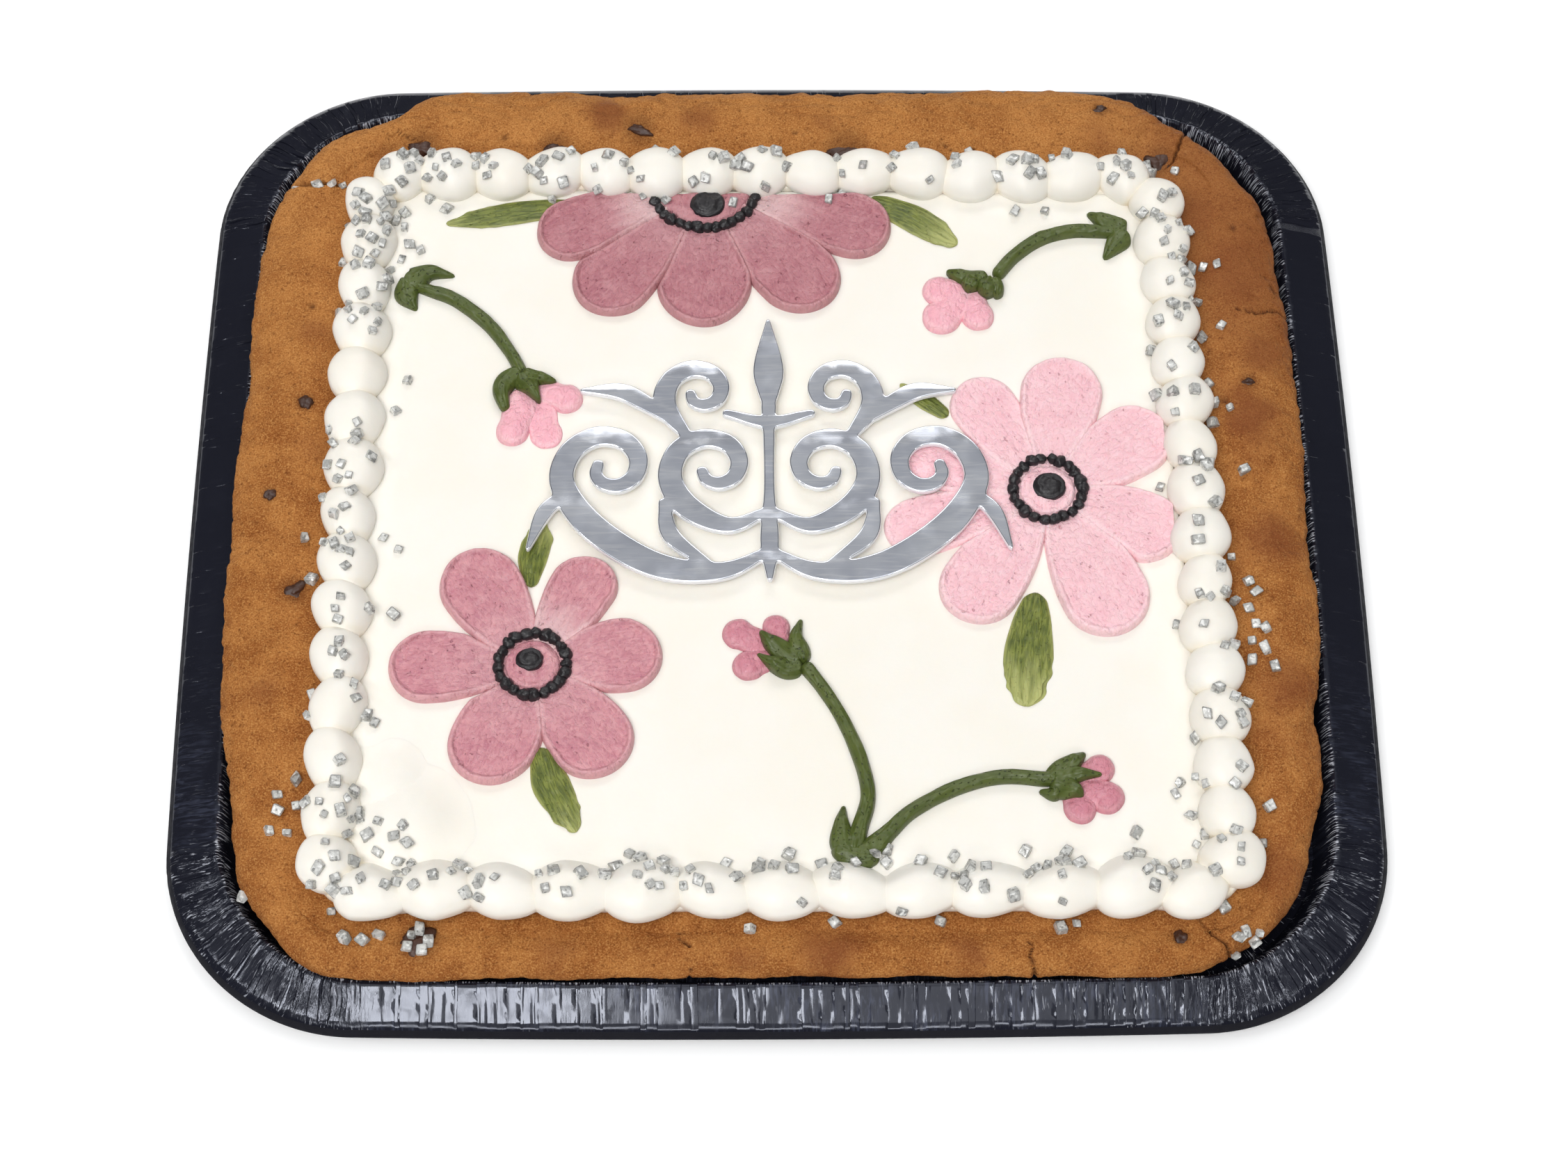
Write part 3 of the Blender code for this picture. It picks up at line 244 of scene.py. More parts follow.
# Piped flowers
FIELD_Z = ICING_Z + GAP
LIE_Z = ICING_Z + 0.05          # what is piped on the icing starts here
SKIRT_Z = ICING_Z - 0.4         # and reaches down to here
FIELD_INSET = 8.4               # decorations stay this far inside the border's middle line
PETAL_START = 2.6
PETAL_ROOT_RISE = 0.9
PETAL_RISE = 2.8
LOW_PETAL = 1.2
PETAL_OVER = 1.3                # a petal laps over the next one on its left by this much
PETAL_BULGE = 2.1
PETAL_SIDE = 56                 # points along each side, and round the tip
PETAL_CAP = 92
# how much of the white icing shows through at a petal's root
PALE_ROOTS = {"piped_petal_left_2": 0.55, "piped_petal_top_1": 0.6, "piped_petal_top_5": 0.6}
FLOWERS = {                     # petals: direction in degrees, length, radius of the tip, rise
    "top": {
        "centre": (-21.5, 112.0), "ring": 16.9, "dot": 5.4, "dot_shift": (1.1, -8.1),
        "slot": "mauve_icing", "finish": "deep_mauve_icing", "dish": 0.62,
        "petals": (
            (203.0, 55.0, 11.0, PETAL_RISE), (232.0, 57.8, 12.4, PETAL_RISE),
            (270.0, 51.8, 14.6, PETAL_RISE), (310.4, 57.8, 12.8, PETAL_RISE),
            (341.0, 60.2, 11.7, PETAL_RISE))},
    "left": {
        "centre": (-70.2, -54.5), "ring": 9.8, "dot": 4.0, "dot_shift": (-0.9, 1.2),
        "slot": "mauve_icing", "finish": "mauve_icing", "dish": 0.62,
        "petals": (
            (6.6, 37.4, 11.6, PETAL_RISE), (60.9, 38.8, 10.0, PETAL_RISE),
            (121.6, 42.4, 12.3, PETAL_RISE), (181.1, 41.4, 11.4, PETAL_RISE),
            (246.5, 39.6, 13.0, PETAL_RISE), (306.0, 41.3, 12.2, PETAL_RISE))},
    "right": {
        "centre": (80.2, 2.6), "ring": 10.2, "dot": 5.0, "dot_shift": (0.5, 0.7),
        "slot": "pink_icing", "finish": "pink_icing", "dish": 0.8,
        "petals": (
            (32.4, 43.0, 11.8, PETAL_RISE), (80.2, 45.9, 12.2, PETAL_RISE),
            (121.3, 44.3, 10.2, LOW_PETAL), (162.0, 46.0, 9.8, LOW_PETAL),
            (197.7, 50.3, 9.9, LOW_PETAL), (236.5, 50.5, 12.2, PETAL_RISE - 0.2),
            (294.0, 51.5, 13.2, PETAL_RISE), (335.6, 42.0, 11.6, PETAL_RISE))},
}
TINTS = {                       # colour, pale, dark and painted pit shade, then how pitted and how rough
    "mauve_icing": (
        (213, 151, 157), (226, 178, 181), (186, 116, 130), (166, 92, 108), 0.55, 0.42),
    "deep_mauve_icing": (
        (191, 130, 136), (207, 157, 159), (166, 99, 110), (146, 80, 94), 0.55, 0.42),
    "mauve_bud": (
        (212, 140, 152), (226, 172, 180), (196, 120, 136), (160, 90, 106), 0.0, 0.36),
    "pink_icing": (
        (247, 203, 209), (251, 219, 221), (240, 184, 193), (230, 156, 166), 0.55, 0.42),
    "pink_bud": (
        (246, 184, 194), (250, 206, 210), (238, 168, 182), (222, 140, 156), 0.0, 0.36),
}
DOT_RISE = 3.0
RUFFLE_RISE = 1.5
RING_SPACING = 2.9
RING_BEAD_RADIUS = 1.75
RING_Z = FIELD_Z + PETAL_ROOT_RISE + GAP
RING_FAR_Y = 106.4              # the far flower's ring ends here, at the border

LEAF_RISE = 1.0
LEAVES = {                      # points of x, y and width
    "leaf_left_top": (
        (-71.4, -29.0, 3.4), (-71.2, -19.6, 8.6), (-69.4, -12.0, 7.6), (-68.6, -6.0, 1.2)),
    "leaf_left_bottom": (
        (-67.8, -80.6, 5.0), (-64.4, -91.0, 10.5), (-60.0, -100.0, 9.0), (-56.7, -106.5, 3.0)),
    "leaf_right_bottom": (
        (75.4, -31.5, 6.0), (73.2, -45.0, 13.0), (71.8, -57.0, 14.0), (71.1, -68.0, 7.0)),
    "leaf_right_top": (
        (51.6, 28.4, 4.0), (43.4, 35.0, 6.0), (37.6, 39.6, 1.4)),
    "leaf_top_left": (
        (-62.0, 104.2, 5.4), (-78.0, 102.0, 8.4), (-91.0, 99.6, 6.8), (-101.0, 97.8, 1.4)),
    "leaf_top_right": (
        (29.5, 106.0, 6.5), (41.5, 100.4, 9.6), (50.0, 94.6, 8.6), (56.4, 89.8, 3.0)),
}
# from and to which share of its length a leaf fades into white
LEAF_FADES = {"leaf_top_left": (0.75, 1.25), "leaf_left_bottom": (0.6, 1.25)}
STEM = 4.2
SPRIGS = {                      # strokes, each of points of x, y and width
    "sprig_left": (
        ((-113.4, 76.8, 3.4), (-110.2, 76.8, 8.2), (-105.0, 79.4, 5.2), (-97.6, 78.4, 1.0)),
        ((-112.4, 77.6, 3.4), (-112.0, 71.6, 7.6), (-108.8, 66.0, 1.2)),
        ((-110.0, 74.6, 3.0), (-104.0, 72.6, 3.8), (-96.2, 69.0, STEM), (-86.4, 60.4, STEM),
         (-79.8, 50.9, 3.9), (-75.6, 42.6, 3.9))),
    "sprig_right": (
        ((108.6, 93.4, 5.0), (106.6, 94.6, 8.6), (102.0, 97.8, 5.8), (97.0, 101.0, 1.2)),
        ((109.0, 93.8, 5.0), (106.0, 90.4, 7.4), (101.4, 84.2, 1.4)),
        ((106.0, 93.6, 4.0), (99.0, 94.2, STEM), (91.5, 94.2, STEM), (82.2, 91.5, STEM),
         (73.7, 85.0, STEM), (67.6, 77.4, STEM))),
    "sprig_near": (
        ((20.4, -115.0, 4.0), (18.0, -110.4, 7.6), (17.6, -104.5, 4.8), (18.3, -98.8, 1.0)),
        ((14.6, -112.4, 2.6), (18.6, -113.6, 6.6), (23.4, -115.2, 6.8), (28.0, -115.2, 2.0)),
        ((20.8, -113.6, 4.8), (22.6, -106.0, 5.0), (25.2, -96.0, STEM), (23.3, -84.7, STEM),
         (18.5, -72.2, 3.9), (13.0, -62.3, 3.9), (7.4, -54.4, 4.2)),
        ((21.6, -114.4, 5.0), (26.4, -111.4, 6.4), (31.4, -106.4, 4.8), (37.8, -100.4, STEM),
         (50.0, -93.7, STEM), (62.7, -90.3, STEM), (74.6, -91.0, STEM), (79.4, -91.0, 4.4))),
}
CALYX_TIPS = {                  # points, then how far the tip is lifted, to lie over the buds
    "sprig_left": (
        (((-76.0, 44.0, 4.6), (-80.2, 41.0, 6.6), (-82.0, 36.4, 5.4), (-80.4, 29.6, 2.6)), 1.0),
        (((-76.5, 43.0, 5.0), (-74.6, 40.0, 7.6), (-72.4, 36.0, 4.2), (-70.4, 32.6, 1.0)), 2.4),
        (((-76.0, 43.6, 4.5), (-71.6, 41.2, 4.6), (-67.8, 40.2, 2.8), (-65.6, 39.9, 1.0)), 1.6)),
    "sprig_right": (
        (((65.5, 77.4, 5.0), (60.0, 76.4, 6.0), (56.0, 77.6, 4.2), (52.8, 79.6, 1.0)), 0.8),
        (((64.0, 76.6, 5.0), (60.6, 75.0, 7.0), (58.6, 71.6, 3.6)), 1.8),
        (((66.5, 77.0, 5.0), (65.2, 74.0, 7.2), (63.6, 69.9, 4.4)), 1.8),
        (((67.0, 77.0, 4.5), (68.0, 73.0, 4.4), (67.8, 69.8, 3.0)), 1.0)),
    "sprig_near": (
        (((7.6, -54.5, 5.0), (6.4, -50.5, 6.4), (5.4, -46.0, 4.2), (7.0, -40.2, 1.0)), 0.6),
        (((7.0, -54.0, 5.4), (2.6, -51.6, 7.4), (-1.8, -48.6, 4.8), (-5.0, -44.6, 1.0)), 2.2),
        (((7.4, -55.6, 5.4), (2.6, -56.0, 6.4), (-2.0, -54.6, 3.6), (-5.8, -52.0, 1.0)), 2.0),
        (((76.0, -92.0, 4.8), (79.6, -88.8, 6.6), (83.4, -86.2, 5.2), (87.0, -83.2, 1.0)), 0.8),
        (((77.0, -92.0, 5.0), (81.6, -90.6, 6.4), (86.2, -90.4, 3.6), (91.2, -90.4, 0.9)), 2.2),
        (((76.6, -92.6, 5.0), (80.6, -94.2, 7.0), (83.6, -95.6, 4.6), (85.6, -97.2, 1.6)), 1.8),
        (((78.0, -93.4, 5.0), (77.4, -95.6, 4.4), (73.4, -94.6, 1.2)), 0.0)),
}
BUD_RISE = 2.9
LOW_BUD = 1.2
CALYXES = {                     # x, y where the buds of a sprig come out
    "bud_left": (-74.0, 39.0), "bud_right": (60.0, 73.0), "bud_near": (1.0, -51.0),
    "bud_near_right": (82.0, -92.0),
}
BUDS = {                        # x, y, radius, rise
    "bud_left_a": (-62.4, 34.6, 4.9, BUD_RISE), "bud_left_b": (-78.4, 23.4, 5.0, BUD_RISE),
    "bud_left_c": (-68.2, 22.4, 4.9, LOW_BUD),
    "bud_right_a": (50.4, 72.6, 5.2, BUD_RISE), "bud_right_b": (50.8, 63.2, 6.0, BUD_RISE),
    "bud_right_c": (61.9, 63.6, 5.0, BUD_RISE),
    "bud_near_a": (-11.1, -44.6, 4.8, BUD_RISE), "bud_near_b": (-0.3, -42.6, 4.1, BUD_RISE),
    "bud_near_c": (-8.3, -54.8, 4.7, BUD_RISE),
    "bud_near_d": (90.8, -87.8, 4.4, BUD_RISE), "bud_near_e": (92.4, -96.6, 5.1, BUD_RISE),
    "bud_near_f": (84.8, -100.0, 4.6, BUD_RISE),
}

# Topper
TOPPER_X = -2.0
TOPPER_Z = FIELD_Z + LOW_PETAL + GAP + 0.2
TOPPER_THICK = 2.0
TOPPER_HALF = (                 # points of x, y and width, then a scroll: its centre, radius from and to,
                                # first angle, sweep, width from and to
    (((0.0, -19.0, 3.0), (14.0, -25.6, 6.0), (33.0, -23.6, 8.4), (51.0, -11.6, 8.8)),
     (47.0, 9.0, 15.0, 3.6, -24.0, 400.0, 7.6, 3.6)),
    (((1.0, -6.0, 3.0), (12.0, -10.4, 5.4)), (16.4, 9.0, 15.4, 3.6, -62.0, 400.0, 7.8, 3.6)),
    (((24.0, 19.5, 3.2),), (20.4, 35.0, 11.4, 3.0, -24.0, 370.0, 6.8, 3.4)),
    (((29.6, 25.6, 3.0), (38.0, 32.0, 5.6), (45.0, 35.4, 5.4), (55.6, 35.6, 1.6)), None),
    (((31.0, -3.0, 3.4), (28.6, -14.0, 5.4), (17.0, -24.0, 2.6)), None),
    (((59.0, 1.0, 3.0), (66.0, -6.0, 4.8), (70.5, -18.0, 1.4)), None),
)
TOPPER_MIDDLE = (
    ((0.0, -28.0, 2.0), (0.0, -16.0, 5.6), (0.0, 2.0, 3.2), (0.0, 22.0, 3.6), (0.0, 30.0, 4.6)),
    ((0.0, 29.0, 2.4), (0.0, 36.0, 6.8), (0.0, 44.0, 9.0), (0.0, 60.0, 1.4)),
    ((-12.6, 27.6, 2.6), (0.0, 24.6, 4.2), (12.6, 27.6, 2.6)),
)
SCROLL_STEP = 46.0              # in degrees, of a scroll's curl
TOPPER_EDGE = 0.5               # width of the bevel round the topper
TOPPER_GRID = 0.6


# Numbers

GRADIENTS = np.random.RandomState(5).normal(size=(256, 3))
GRADIENTS /= np.linalg.norm(GRADIENTS, axis=1, keepdims=True)


def noise(points, cell, seed=0):
    """Smooth noise of about -1 to 1 at points, with features of the given size."""
    points = np.asarray(points, float)
    where = points.reshape(-1, 3) / cell + seed * 17.31
    base = np.floor(where).astype(np.int64)
    inside = where - base
    fade = inside ** 3 * (inside * (inside * 6.0 - 15.0) + 10.0)
    total = np.zeros(len(where))
    for k in range(8):
        offset = np.array(((k >> 2) & 1, (k >> 1) & 1, k & 1))
        spot = base + offset
        mixed = (spot[:, 0] * 73856093) ^ (spot[:, 1] * 19349663) ^ (spot[:, 2] * 83492791)
        mixed = (mixed ^ (mixed >> 13)) * 1274126177
        chosen = (mixed ^ (mixed >> 16)) & 255
        weight = np.where(offset == 1, fade, 1.0 - fade).prod(axis=1)
        total += weight * (GRADIENTS[chosen] * (inside - offset)).sum(axis=1)
    return (1.7 * total).reshape(points.shape[:-1])


def flat_noise(a, b, cell_a, cell_b, seed=0):
    """Noise of two coordinates, each with its own feature size."""
    a, b = np.broadcast_arrays(a, b)
    return noise(np.stack((a / cell_a, b / cell_b, np.full(a.shape, 0.37)), axis=-1), 1.0, seed)


def smoothstep(low, high, value):
    t = np.clip((value - low) / (high - low), 0.0, 1.0)
    return t * t * (3.0 - 2.0 * t)


def lerp(a, b, t):
    return a + (b - a) * t


def catmull_rom(a, b, c, d, t):
    """Where a smooth curve through four points is at t of the way from b to c."""
    return 0.5 * (2 * b + (c - a) * t + (2 * a - 5 * b + 4 * c - d) * t ** 2
                  + (3 * b - a - 3 * c + d) * t ** 3)


def with_ends(points):
    """The points, and one more straight on at either end."""
    return np.concatenate((2 * points[:1] - points[1:2], points, 2 * points[-1:] - points[-2:-1]))


def smooth_path(points, steps, closed=False):
    """A Catmull-Rom curve through points of any dimension, as an array."""
    points = np.asarray(points, float)
    ends = np.concatenate((points[-1:], points, points[:2])) if closed else with_ends(points)
    t = (np.arange(steps) / steps)[:, None]
    fours = zip(ends, ends[1:], ends[2:], ends[3:])
    path = np.concatenate([catmull_rom(*four, t) for four in fours])
    return path if closed else np.concatenate((path, points[-1:]))


def sides_of(path, closed=False):
    """The unit vectors to the left of an x, y path."""
    path = np.asarray(path)[:, :2]
    if closed:
        step = np.roll(path, -1, axis=0) - np.roll(path, 1, axis=0)
    else:
        step = np.gradient(path, axis=0)
    step = step / np.maximum(np.linalg.norm(step, axis=1, keepdims=True), 1e-9)
    return np.stack((-step[:, 1], step[:, 0]), axis=1)


def rounded_outline(half_x, half_y, corner, bow, corner_steps, side_steps, middle=(0.0, 0.0)):
    """A rectangle with round corners and sides that bow out, anticlockwise, as in part.py."""
    parts = []
    for quarter in range(4):
        sign_x, sign_y = (1, -1, -1, 1)[quarter], (1, 1, -1, -1)[quarter]
        angle = np.radians(90.0 * (quarter + np.arange(corner_steps + 1) / corner_steps))
        arc = np.stack((sign_x * (half_x - corner) + corner * np.cos(angle),
                        sign_y * (half_y - corner) + corner * np.sin(angle)), axis=1)
        following = ((-half_x + corner, half_y), (-half_x, -half_y + corner),
                     (half_x - corner, -half_y), (half_x, half_y - corner))[quarter]
        share = (np.arange(1, side_steps) / side_steps)[:, None]
        parts += [arc, lerp(arc[-1:], np.array([following]), share)]
    points = np.concatenate(parts)
    push_x = bow * (1.0 - (points[:, 1] / half_y) ** 2) * points[:, 0] / half_x
    push_y = bow * (1.0 - (points[:, 0] / half_x) ** 2) * points[:, 1] / half_y
    return points + np.stack((push_x + middle[0], push_y + middle[1]), axis=1)


def grid_faces(rows, columns, closed=True):
    """Quads of a grid of points listed row by row, closed along the rows."""
    last = columns if closed else columns - 1
    i, j = np.meshgrid(np.arange(rows - 1), np.arange(last), indexing="ij")
    a = i * columns + j
    b = i * columns + (j + 1) % columns
    return np.stack((a, b, b + columns, a + columns), axis=-1).reshape(-1, 4)


def tube_faces(rows, columns, first=True, last=True):
    """Quads of a grid closed along its rows, and a face over its first and its last row."""
    faces = [grid_faces(rows, columns)]
    if first:
        faces.append(np.arange(columns)[None, :])
    if last:
        faces.append(np.arange((rows - 1) * columns, rows * columns)[None, :])
    return faces


def standing(top, base_z, open_middle=False):
    """Points and faces of a round grid whose last row drops to a flat base."""
    base = top[-1].copy()
    base[:, 2] = base_z
    points = np.concatenate((top.reshape(-1, 3), base))
    return points, tube_faces(len(top) + 1, top.shape[1], first=open_middle)


def turns(around):
    """Angles evenly round a circle, as one row of a grid."""
    return np.linspace(0.0, math.tau, around, endpoint=False)[None, :]


def unit_sphere(around, rows):
    """A grid of points on a sphere of radius 1, in rows from its top down."""
    theta = turns(around)
    phi = np.linspace(0.0, math.pi, rows)[:, None]
    return np.stack((np.sin(phi) * np.cos(theta), np.sin(phi) * np.sin(theta),
                     np.cos(phi) * np.ones_like(theta)), axis=-1)


def side_of(corners, side):
    """A side of a frame of four corners: its ends, and unit vectors along and out of it."""
    start, end = np.array(corners[side]), np.array(corners[(side + 1) % 4])
    step = (end - start) / np.linalg.norm(end - start)
    return start, end, step, np.array((-step[1], step[0]))


def grid_normals(points):
    """Unit normals of a grid that is closed along its rows."""
    along = np.roll(points, -1, axis=1) - np.roll(points, 1, axis=1)
    across = np.gradient(points, axis=0)
    normal = np.cross(along, across)
    return normal / np.maximum(np.linalg.norm(normal, axis=-1, keepdims=True), 1e-9)


# Meshes

def linked(name, data):
    """An object of the given data, in the scene."""
    made = bpy.data.objects.new(name, data)
    bpy.context.scene.collection.objects.link(made)
    return made


def make(name, points, faces, finish, layers=None, sharp=None):
    """An object of points in millimetres and arrays of faces, with its normals pointing out."""
    points = np.asarray(points, float).reshape(-1, 3) * MM
    groups = faces if isinstance(faces, list) else [faces]
    mesh = bpy.data.meshes.new(name)
    mesh.vertices.add(len(points))
    mesh.vertices.foreach_set("co", points.ravel())
    corners = np.concatenate([np.asarray(group).ravel() for group in groups])
    sizes = np.concatenate([np.full(len(group), np.asarray(group).shape[1]) for group in groups])
    mesh.loops.add(len(corners))
    mesh.loops.foreach_set("vertex_index", corners)
    mesh.polygons.add(len(sizes))
    mesh.polygons.foreach_set("loop_start", np.concatenate(([0], np.cumsum(sizes)[:-1])))
    mesh.update(calc_edges=True)
    for layer, values in (layers or {}).items():
        kind, key = ("FLOAT_VECTOR", "vector") if np.ndim(values) > 1 else ("FLOAT", "value")
        made = mesh.attributes.new(layer, kind, "POINT")
        made.data.foreach_set(key, np.asarray(values, np.float32).ravel())
    tidy(mesh, sharp)
    mesh.materials.append(finish)
    return linked(name, mesh)


def tidy(mesh, sharp=None):
    """Welds doubles, turns normals outward and shades smooth."""
    bm = bmesh.new()
    bm.from_mesh(mesh)
    bmesh.ops.remove_doubles(bm, verts=bm.verts, dist=0.000002)
    bmesh.ops.recalc_face_normals(bm, faces=bm.faces)
    bm.to_mesh(mesh)
    bm.free()
    mesh.shade_smooth()
    if sharp:
        mesh.set_sharp_from_angle(angle=math.radians(sharp))


def united(name, pieces, finish, sharp=None):
    """One object from the union of closed pieces, which are removed."""
    group = bpy.data.collections.new(name)
    bpy.context.scene.collection.children.link(group)
    whole = pieces[0]
    for piece in pieces[1:]:
        bpy.context.scene.collection.objects.unlink(piece)
        group.objects.link(piece)
    join = whole.modifiers.new("join", "BOOLEAN")
    join.operand_type = "COLLECTION"
    join.collection = group
    join.operation = "UNION"
    join.solver = "MANIFOLD"
    graph = bpy.context.evaluated_depsgraph_get()
    mesh = bpy.data.meshes.new_from_object(whole.evaluated_get(graph))
    for piece in pieces:
        bpy.data.objects.remove(piece, do_unlink=True)
    bpy.data.collections.remove(group)
    tidy(mesh, sharp)
    mesh.name = name
    mesh.materials.clear()
    mesh.materials.append(finish)
    return linked(name, mesh)


def joined(name, pieces):
    """One object that holds the meshes of several, which are removed."""
    bm = bmesh.new()
    for piece in pieces:
        bm.from_mesh(piece.data)
    mesh = bpy.data.meshes.new(name)
    bm.to_mesh(mesh)
    bm.free()
    for finish in pieces[0].data.materials:
        mesh.materials.append(finish)
    for piece in pieces:
        bpy.data.objects.remove(piece, do_unlink=True)
    return linked(name, mesh)


def settle(piece, slot, *nodes):
    """Puts a piece on the body in place of its CAD nodes. Its slot is not used."""
    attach(piece, "root")
    if nodes:
        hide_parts(*nodes)


# Materials

def srgb(red, green, blue):
    """A linear colour from one of 0 to 255."""
    return tuple(((c / 255.0 + 0.055) / 1.055) ** 2.4 for c in (red, green, blue)) + (1.0,)


class Nodes:
    """The nodes of one tree in the making."""

    def __init__(self, tree):
        self.tree = tree

    def node(self, kind, values=None, **settings):
        """A node with its settings, and a value or a link for each socket named."""
        made = self.tree.nodes.new(kind)
        for key, value in settings.items():
            setattr(made, key, value)
        for key, value in (values or {}).items():
            if isinstance(value, bpy.types.NodeSocket):
                self.tree.links.new(value, made.inputs[key])
            else:
                made.inputs[key].default_value = value
        return made

    def split(self, vector):
        """The three parts of a vector."""
        return self.node("ShaderNodeSeparateXYZ", {0: vector}).outputs

    def level(self, value, low, high, to_low=0.0, to_high=1.0):
        """A value moved from one range to another, and held there."""
        values = {"Value": value, "From Min": low, "From Max": high, "To Min": to_low, "To Max": to_high}
        return self.node("ShaderNodeMapRange", values, interpolation_type="SMOOTHSTEP").outputs["Result"]


class Look(Nodes):
    """A node material in the making."""

    def __init__(self, name, **values):
        self.made = bpy.data.materials.new(name)
        self.made.use_nodes = True
        super().__init__(self.made.node_tree)
        self.shader = self.tree.nodes["Principled BSDF"]
        for socket, value in values.items():
            self.shader.inputs[socket.replace("_", " ").title().replace("Ior", "IOR")].default_value = value
        self.place = self.node("ShaderNodeTexCoord").outputs["Object"]

    def scaled(self, place, factors):
        return self.node("ShaderNodeVectorMath", {0: place, 1: factors}, operation="MULTIPLY").outputs[0]

    def grain(self, size, detail=2.0, place=None, stretch=None, distortion=0.0):
        """Noise of about the given size in millimetres, 0 to 1."""
        place = place or self.place
        if stretch:
            place = self.scaled(place, stretch)
        values = {"Vector": place, "Scale": 1.0 / (size * MM), "Detail": detail, "Distortion": distortion}
        return self.node("ShaderNodeTexNoise", values).outputs["Fac"]

    def layer(self, name, output="Fac"):
        return self.node("ShaderNodeAttribute", attribute_name=name).outputs[output]

    def product(self, a, b):
        return self.node("ShaderNodeMath", {0: a, 1: b}, operation="MULTIPLY").outputs[0]

    def sum_of(self, *terms):
        """Adds values, each a socket or a socket and its weight."""
        total = None
        for term in terms:
            scaled = self.product(*(term if isinstance(term, tuple) else (term, 1.0)))
            total = scaled if total is None else self.node(
                "ShaderNodeMath", {0: total, 1: scaled}, operation="ADD").outputs[0]
        return total

    def mix(self, amount, a, b):
        """A colour over another, each a socket or red, green and blue of 0 to 255."""
        a, b = (srgb(*colour) if isinstance(colour, tuple) else colour for colour in (a, b))
        return self.node("ShaderNodeMix", {0: amount, 6: a, 7: b}, data_type="RGBA").outputs[2]

    def set(self, socket, value):
        self.tree.links.new(value, self.shader.inputs[socket])

    def bump(self, height, depth, strength=1.0, under=None):
        """Relief of the given depth in millimetres."""
        values = {"Height": height, "Distance": depth * MM, "Strength": strength}
        if under:
            values["Normal"] = under
        return self.node("ShaderNodeBump", values).outputs["Normal"]


def plain_look(name, tones, relief=None, **values):
    """Two tones in a fine grain, and relief: size and detail of its grain, depth, strength."""
    look = Look(name, **values)
    look.set("Base Color", look.mix(look.grain(*tones[0]), *tones[1:]))
    if relief:
        size, detail, depth, strength = relief
        look.set("Normal", look.bump(look.grain(size, detail), depth, strength))
    return look.made


def icing_look(name, colour, deep, roughness=0.42):
    """Buttercream: a smooth off-white, painted creamier in the joints of the beads as their shade, more so
    low down.
    """
    look = Look(name, roughness=roughness, subsurface_weight=0.2, subsurface_scale=0.002)
    look.shader.inputs["Subsurface Radius"].default_value = (1.0, 0.8, 0.6)
    low = look.level(look.split(look.place)[2], 24.0 * MM, 31.0 * MM, 1.0, 0.25)
    # painted shade: creamier, darker colour in the creases between beads, more of it low down
    joint_shade = look.product(look.layer("joint_shade"), low)
    cloud = look.level(look.grain(26.0, 2.0), 0.35, 0.65)
    look.set("Base Color", look.mix(look.sum_of((joint_shade, 0.9), (cloud, 0.12)), colour, deep))
    look.set("Roughness", look.level(look.grain(3.0, 3.0), 0.3, 0.7, roughness - 0.06, roughness + 0.1))
    fine = look.bump(look.grain(0.9, 3.0), 0.04)
    look.set("Normal", look.bump(look.grain(7.0, 2.0), 0.2, 0.6, fine))
    return look.made


def tinted_look(name, colour, pale, dark, pit_shade, pitted, roughness):
    """Coloured buttercream, finely brushed and pitted, with painted shade in its pits, paler where it is thin
    and on its rims.
    """
    look = Look(name, roughness=roughness, subsurface_weight=0.1, subsurface_scale=0.001)
    along = look.layer("along", "Vector")
    streak = look.grain(1.1, 3.0, along, (1.2, 0.4, 1.0), 0.8)
    cloud = look.level(look.grain(7.0, 4.0, None, None, 0.6), 0.34, 0.66)
    speck = look.level(look.grain(1.6, 3.0), 0.40, 0.62)
    darker = look.sum_of((look.level(streak, 0.38, 0.66), 0.4), (cloud, 0.35), (speck, 0.25))
    tone = look.mix(darker, colour, dark)
    blotch = look.level(look.grain(4.5, 3.0, along), 0.54, 0.72)
    tone = look.mix(look.product(blotch, 0.25), tone, pale)
    # the pits are sunk, and painted darker as their shade
    pits = look.product(look.level(look.grain(1.4, 2.0, along, (1.0, 0.7, 1.0)), 0.64, 0.74),
                        look.level(cloud, 0.3, 0.9))
    tone = look.mix(look.product(pits, pitted), tone, pit_shade)
    tone = look.mix(look.product(look.layer("edge"), 0.45), tone, pale)
    look.set("Base Color", look.mix(look.layer("thin"), tone, (240, 214, 212)))
    look.set("Roughness", look.level(cloud, 0.0, 1.0, roughness - 0.05, roughness + 0.08))
    fine = look.bump(look.grain(0.6, 2.0), 0.07)
    relief = look.sum_of((streak, 0.6), (speck, 0.4), (pits, -2.0 * pitted))
    look.set("Normal", look.bump(relief, 0.5, 0.9, fine))
    return look.made


def green_look(name, streaky, pitted, low, high, clear):
    """Olive icing: piped stems are smooth and pitted, brushed leaves streaky and see-through."""
    look = Look(name, roughness=0.42, subsurface_weight=0.06, subsurface_scale=0.001)
    along = look.layer("along", "Vector")
    streak = look.grain(0.9, 3.0, along, (1.5, 0.2, 1.0), 0.8)
    cloud = look.level(look.grain(5.0, 3.0), 0.35, 0.68)
    tone = look.mix(look.sum_of((look.level(streak, 0.36, 0.66), streaky), (cloud, 0.35)), low, high)
    # the pits are sunk, and painted darker as their shade
    pits = look.level(look.grain(0.9, 1.0), 0.64, 0.72)
    tone = look.mix(look.product(pits, pitted), tone, (40, 48, 14))
    look.set("Base Color", look.mix(look.layer("thin"), tone, clear))
    look.set("Normal", look.bump(look.sum_of((streak, streaky), (pits, -pitted)), 0.5, 0.9))
    return look.made


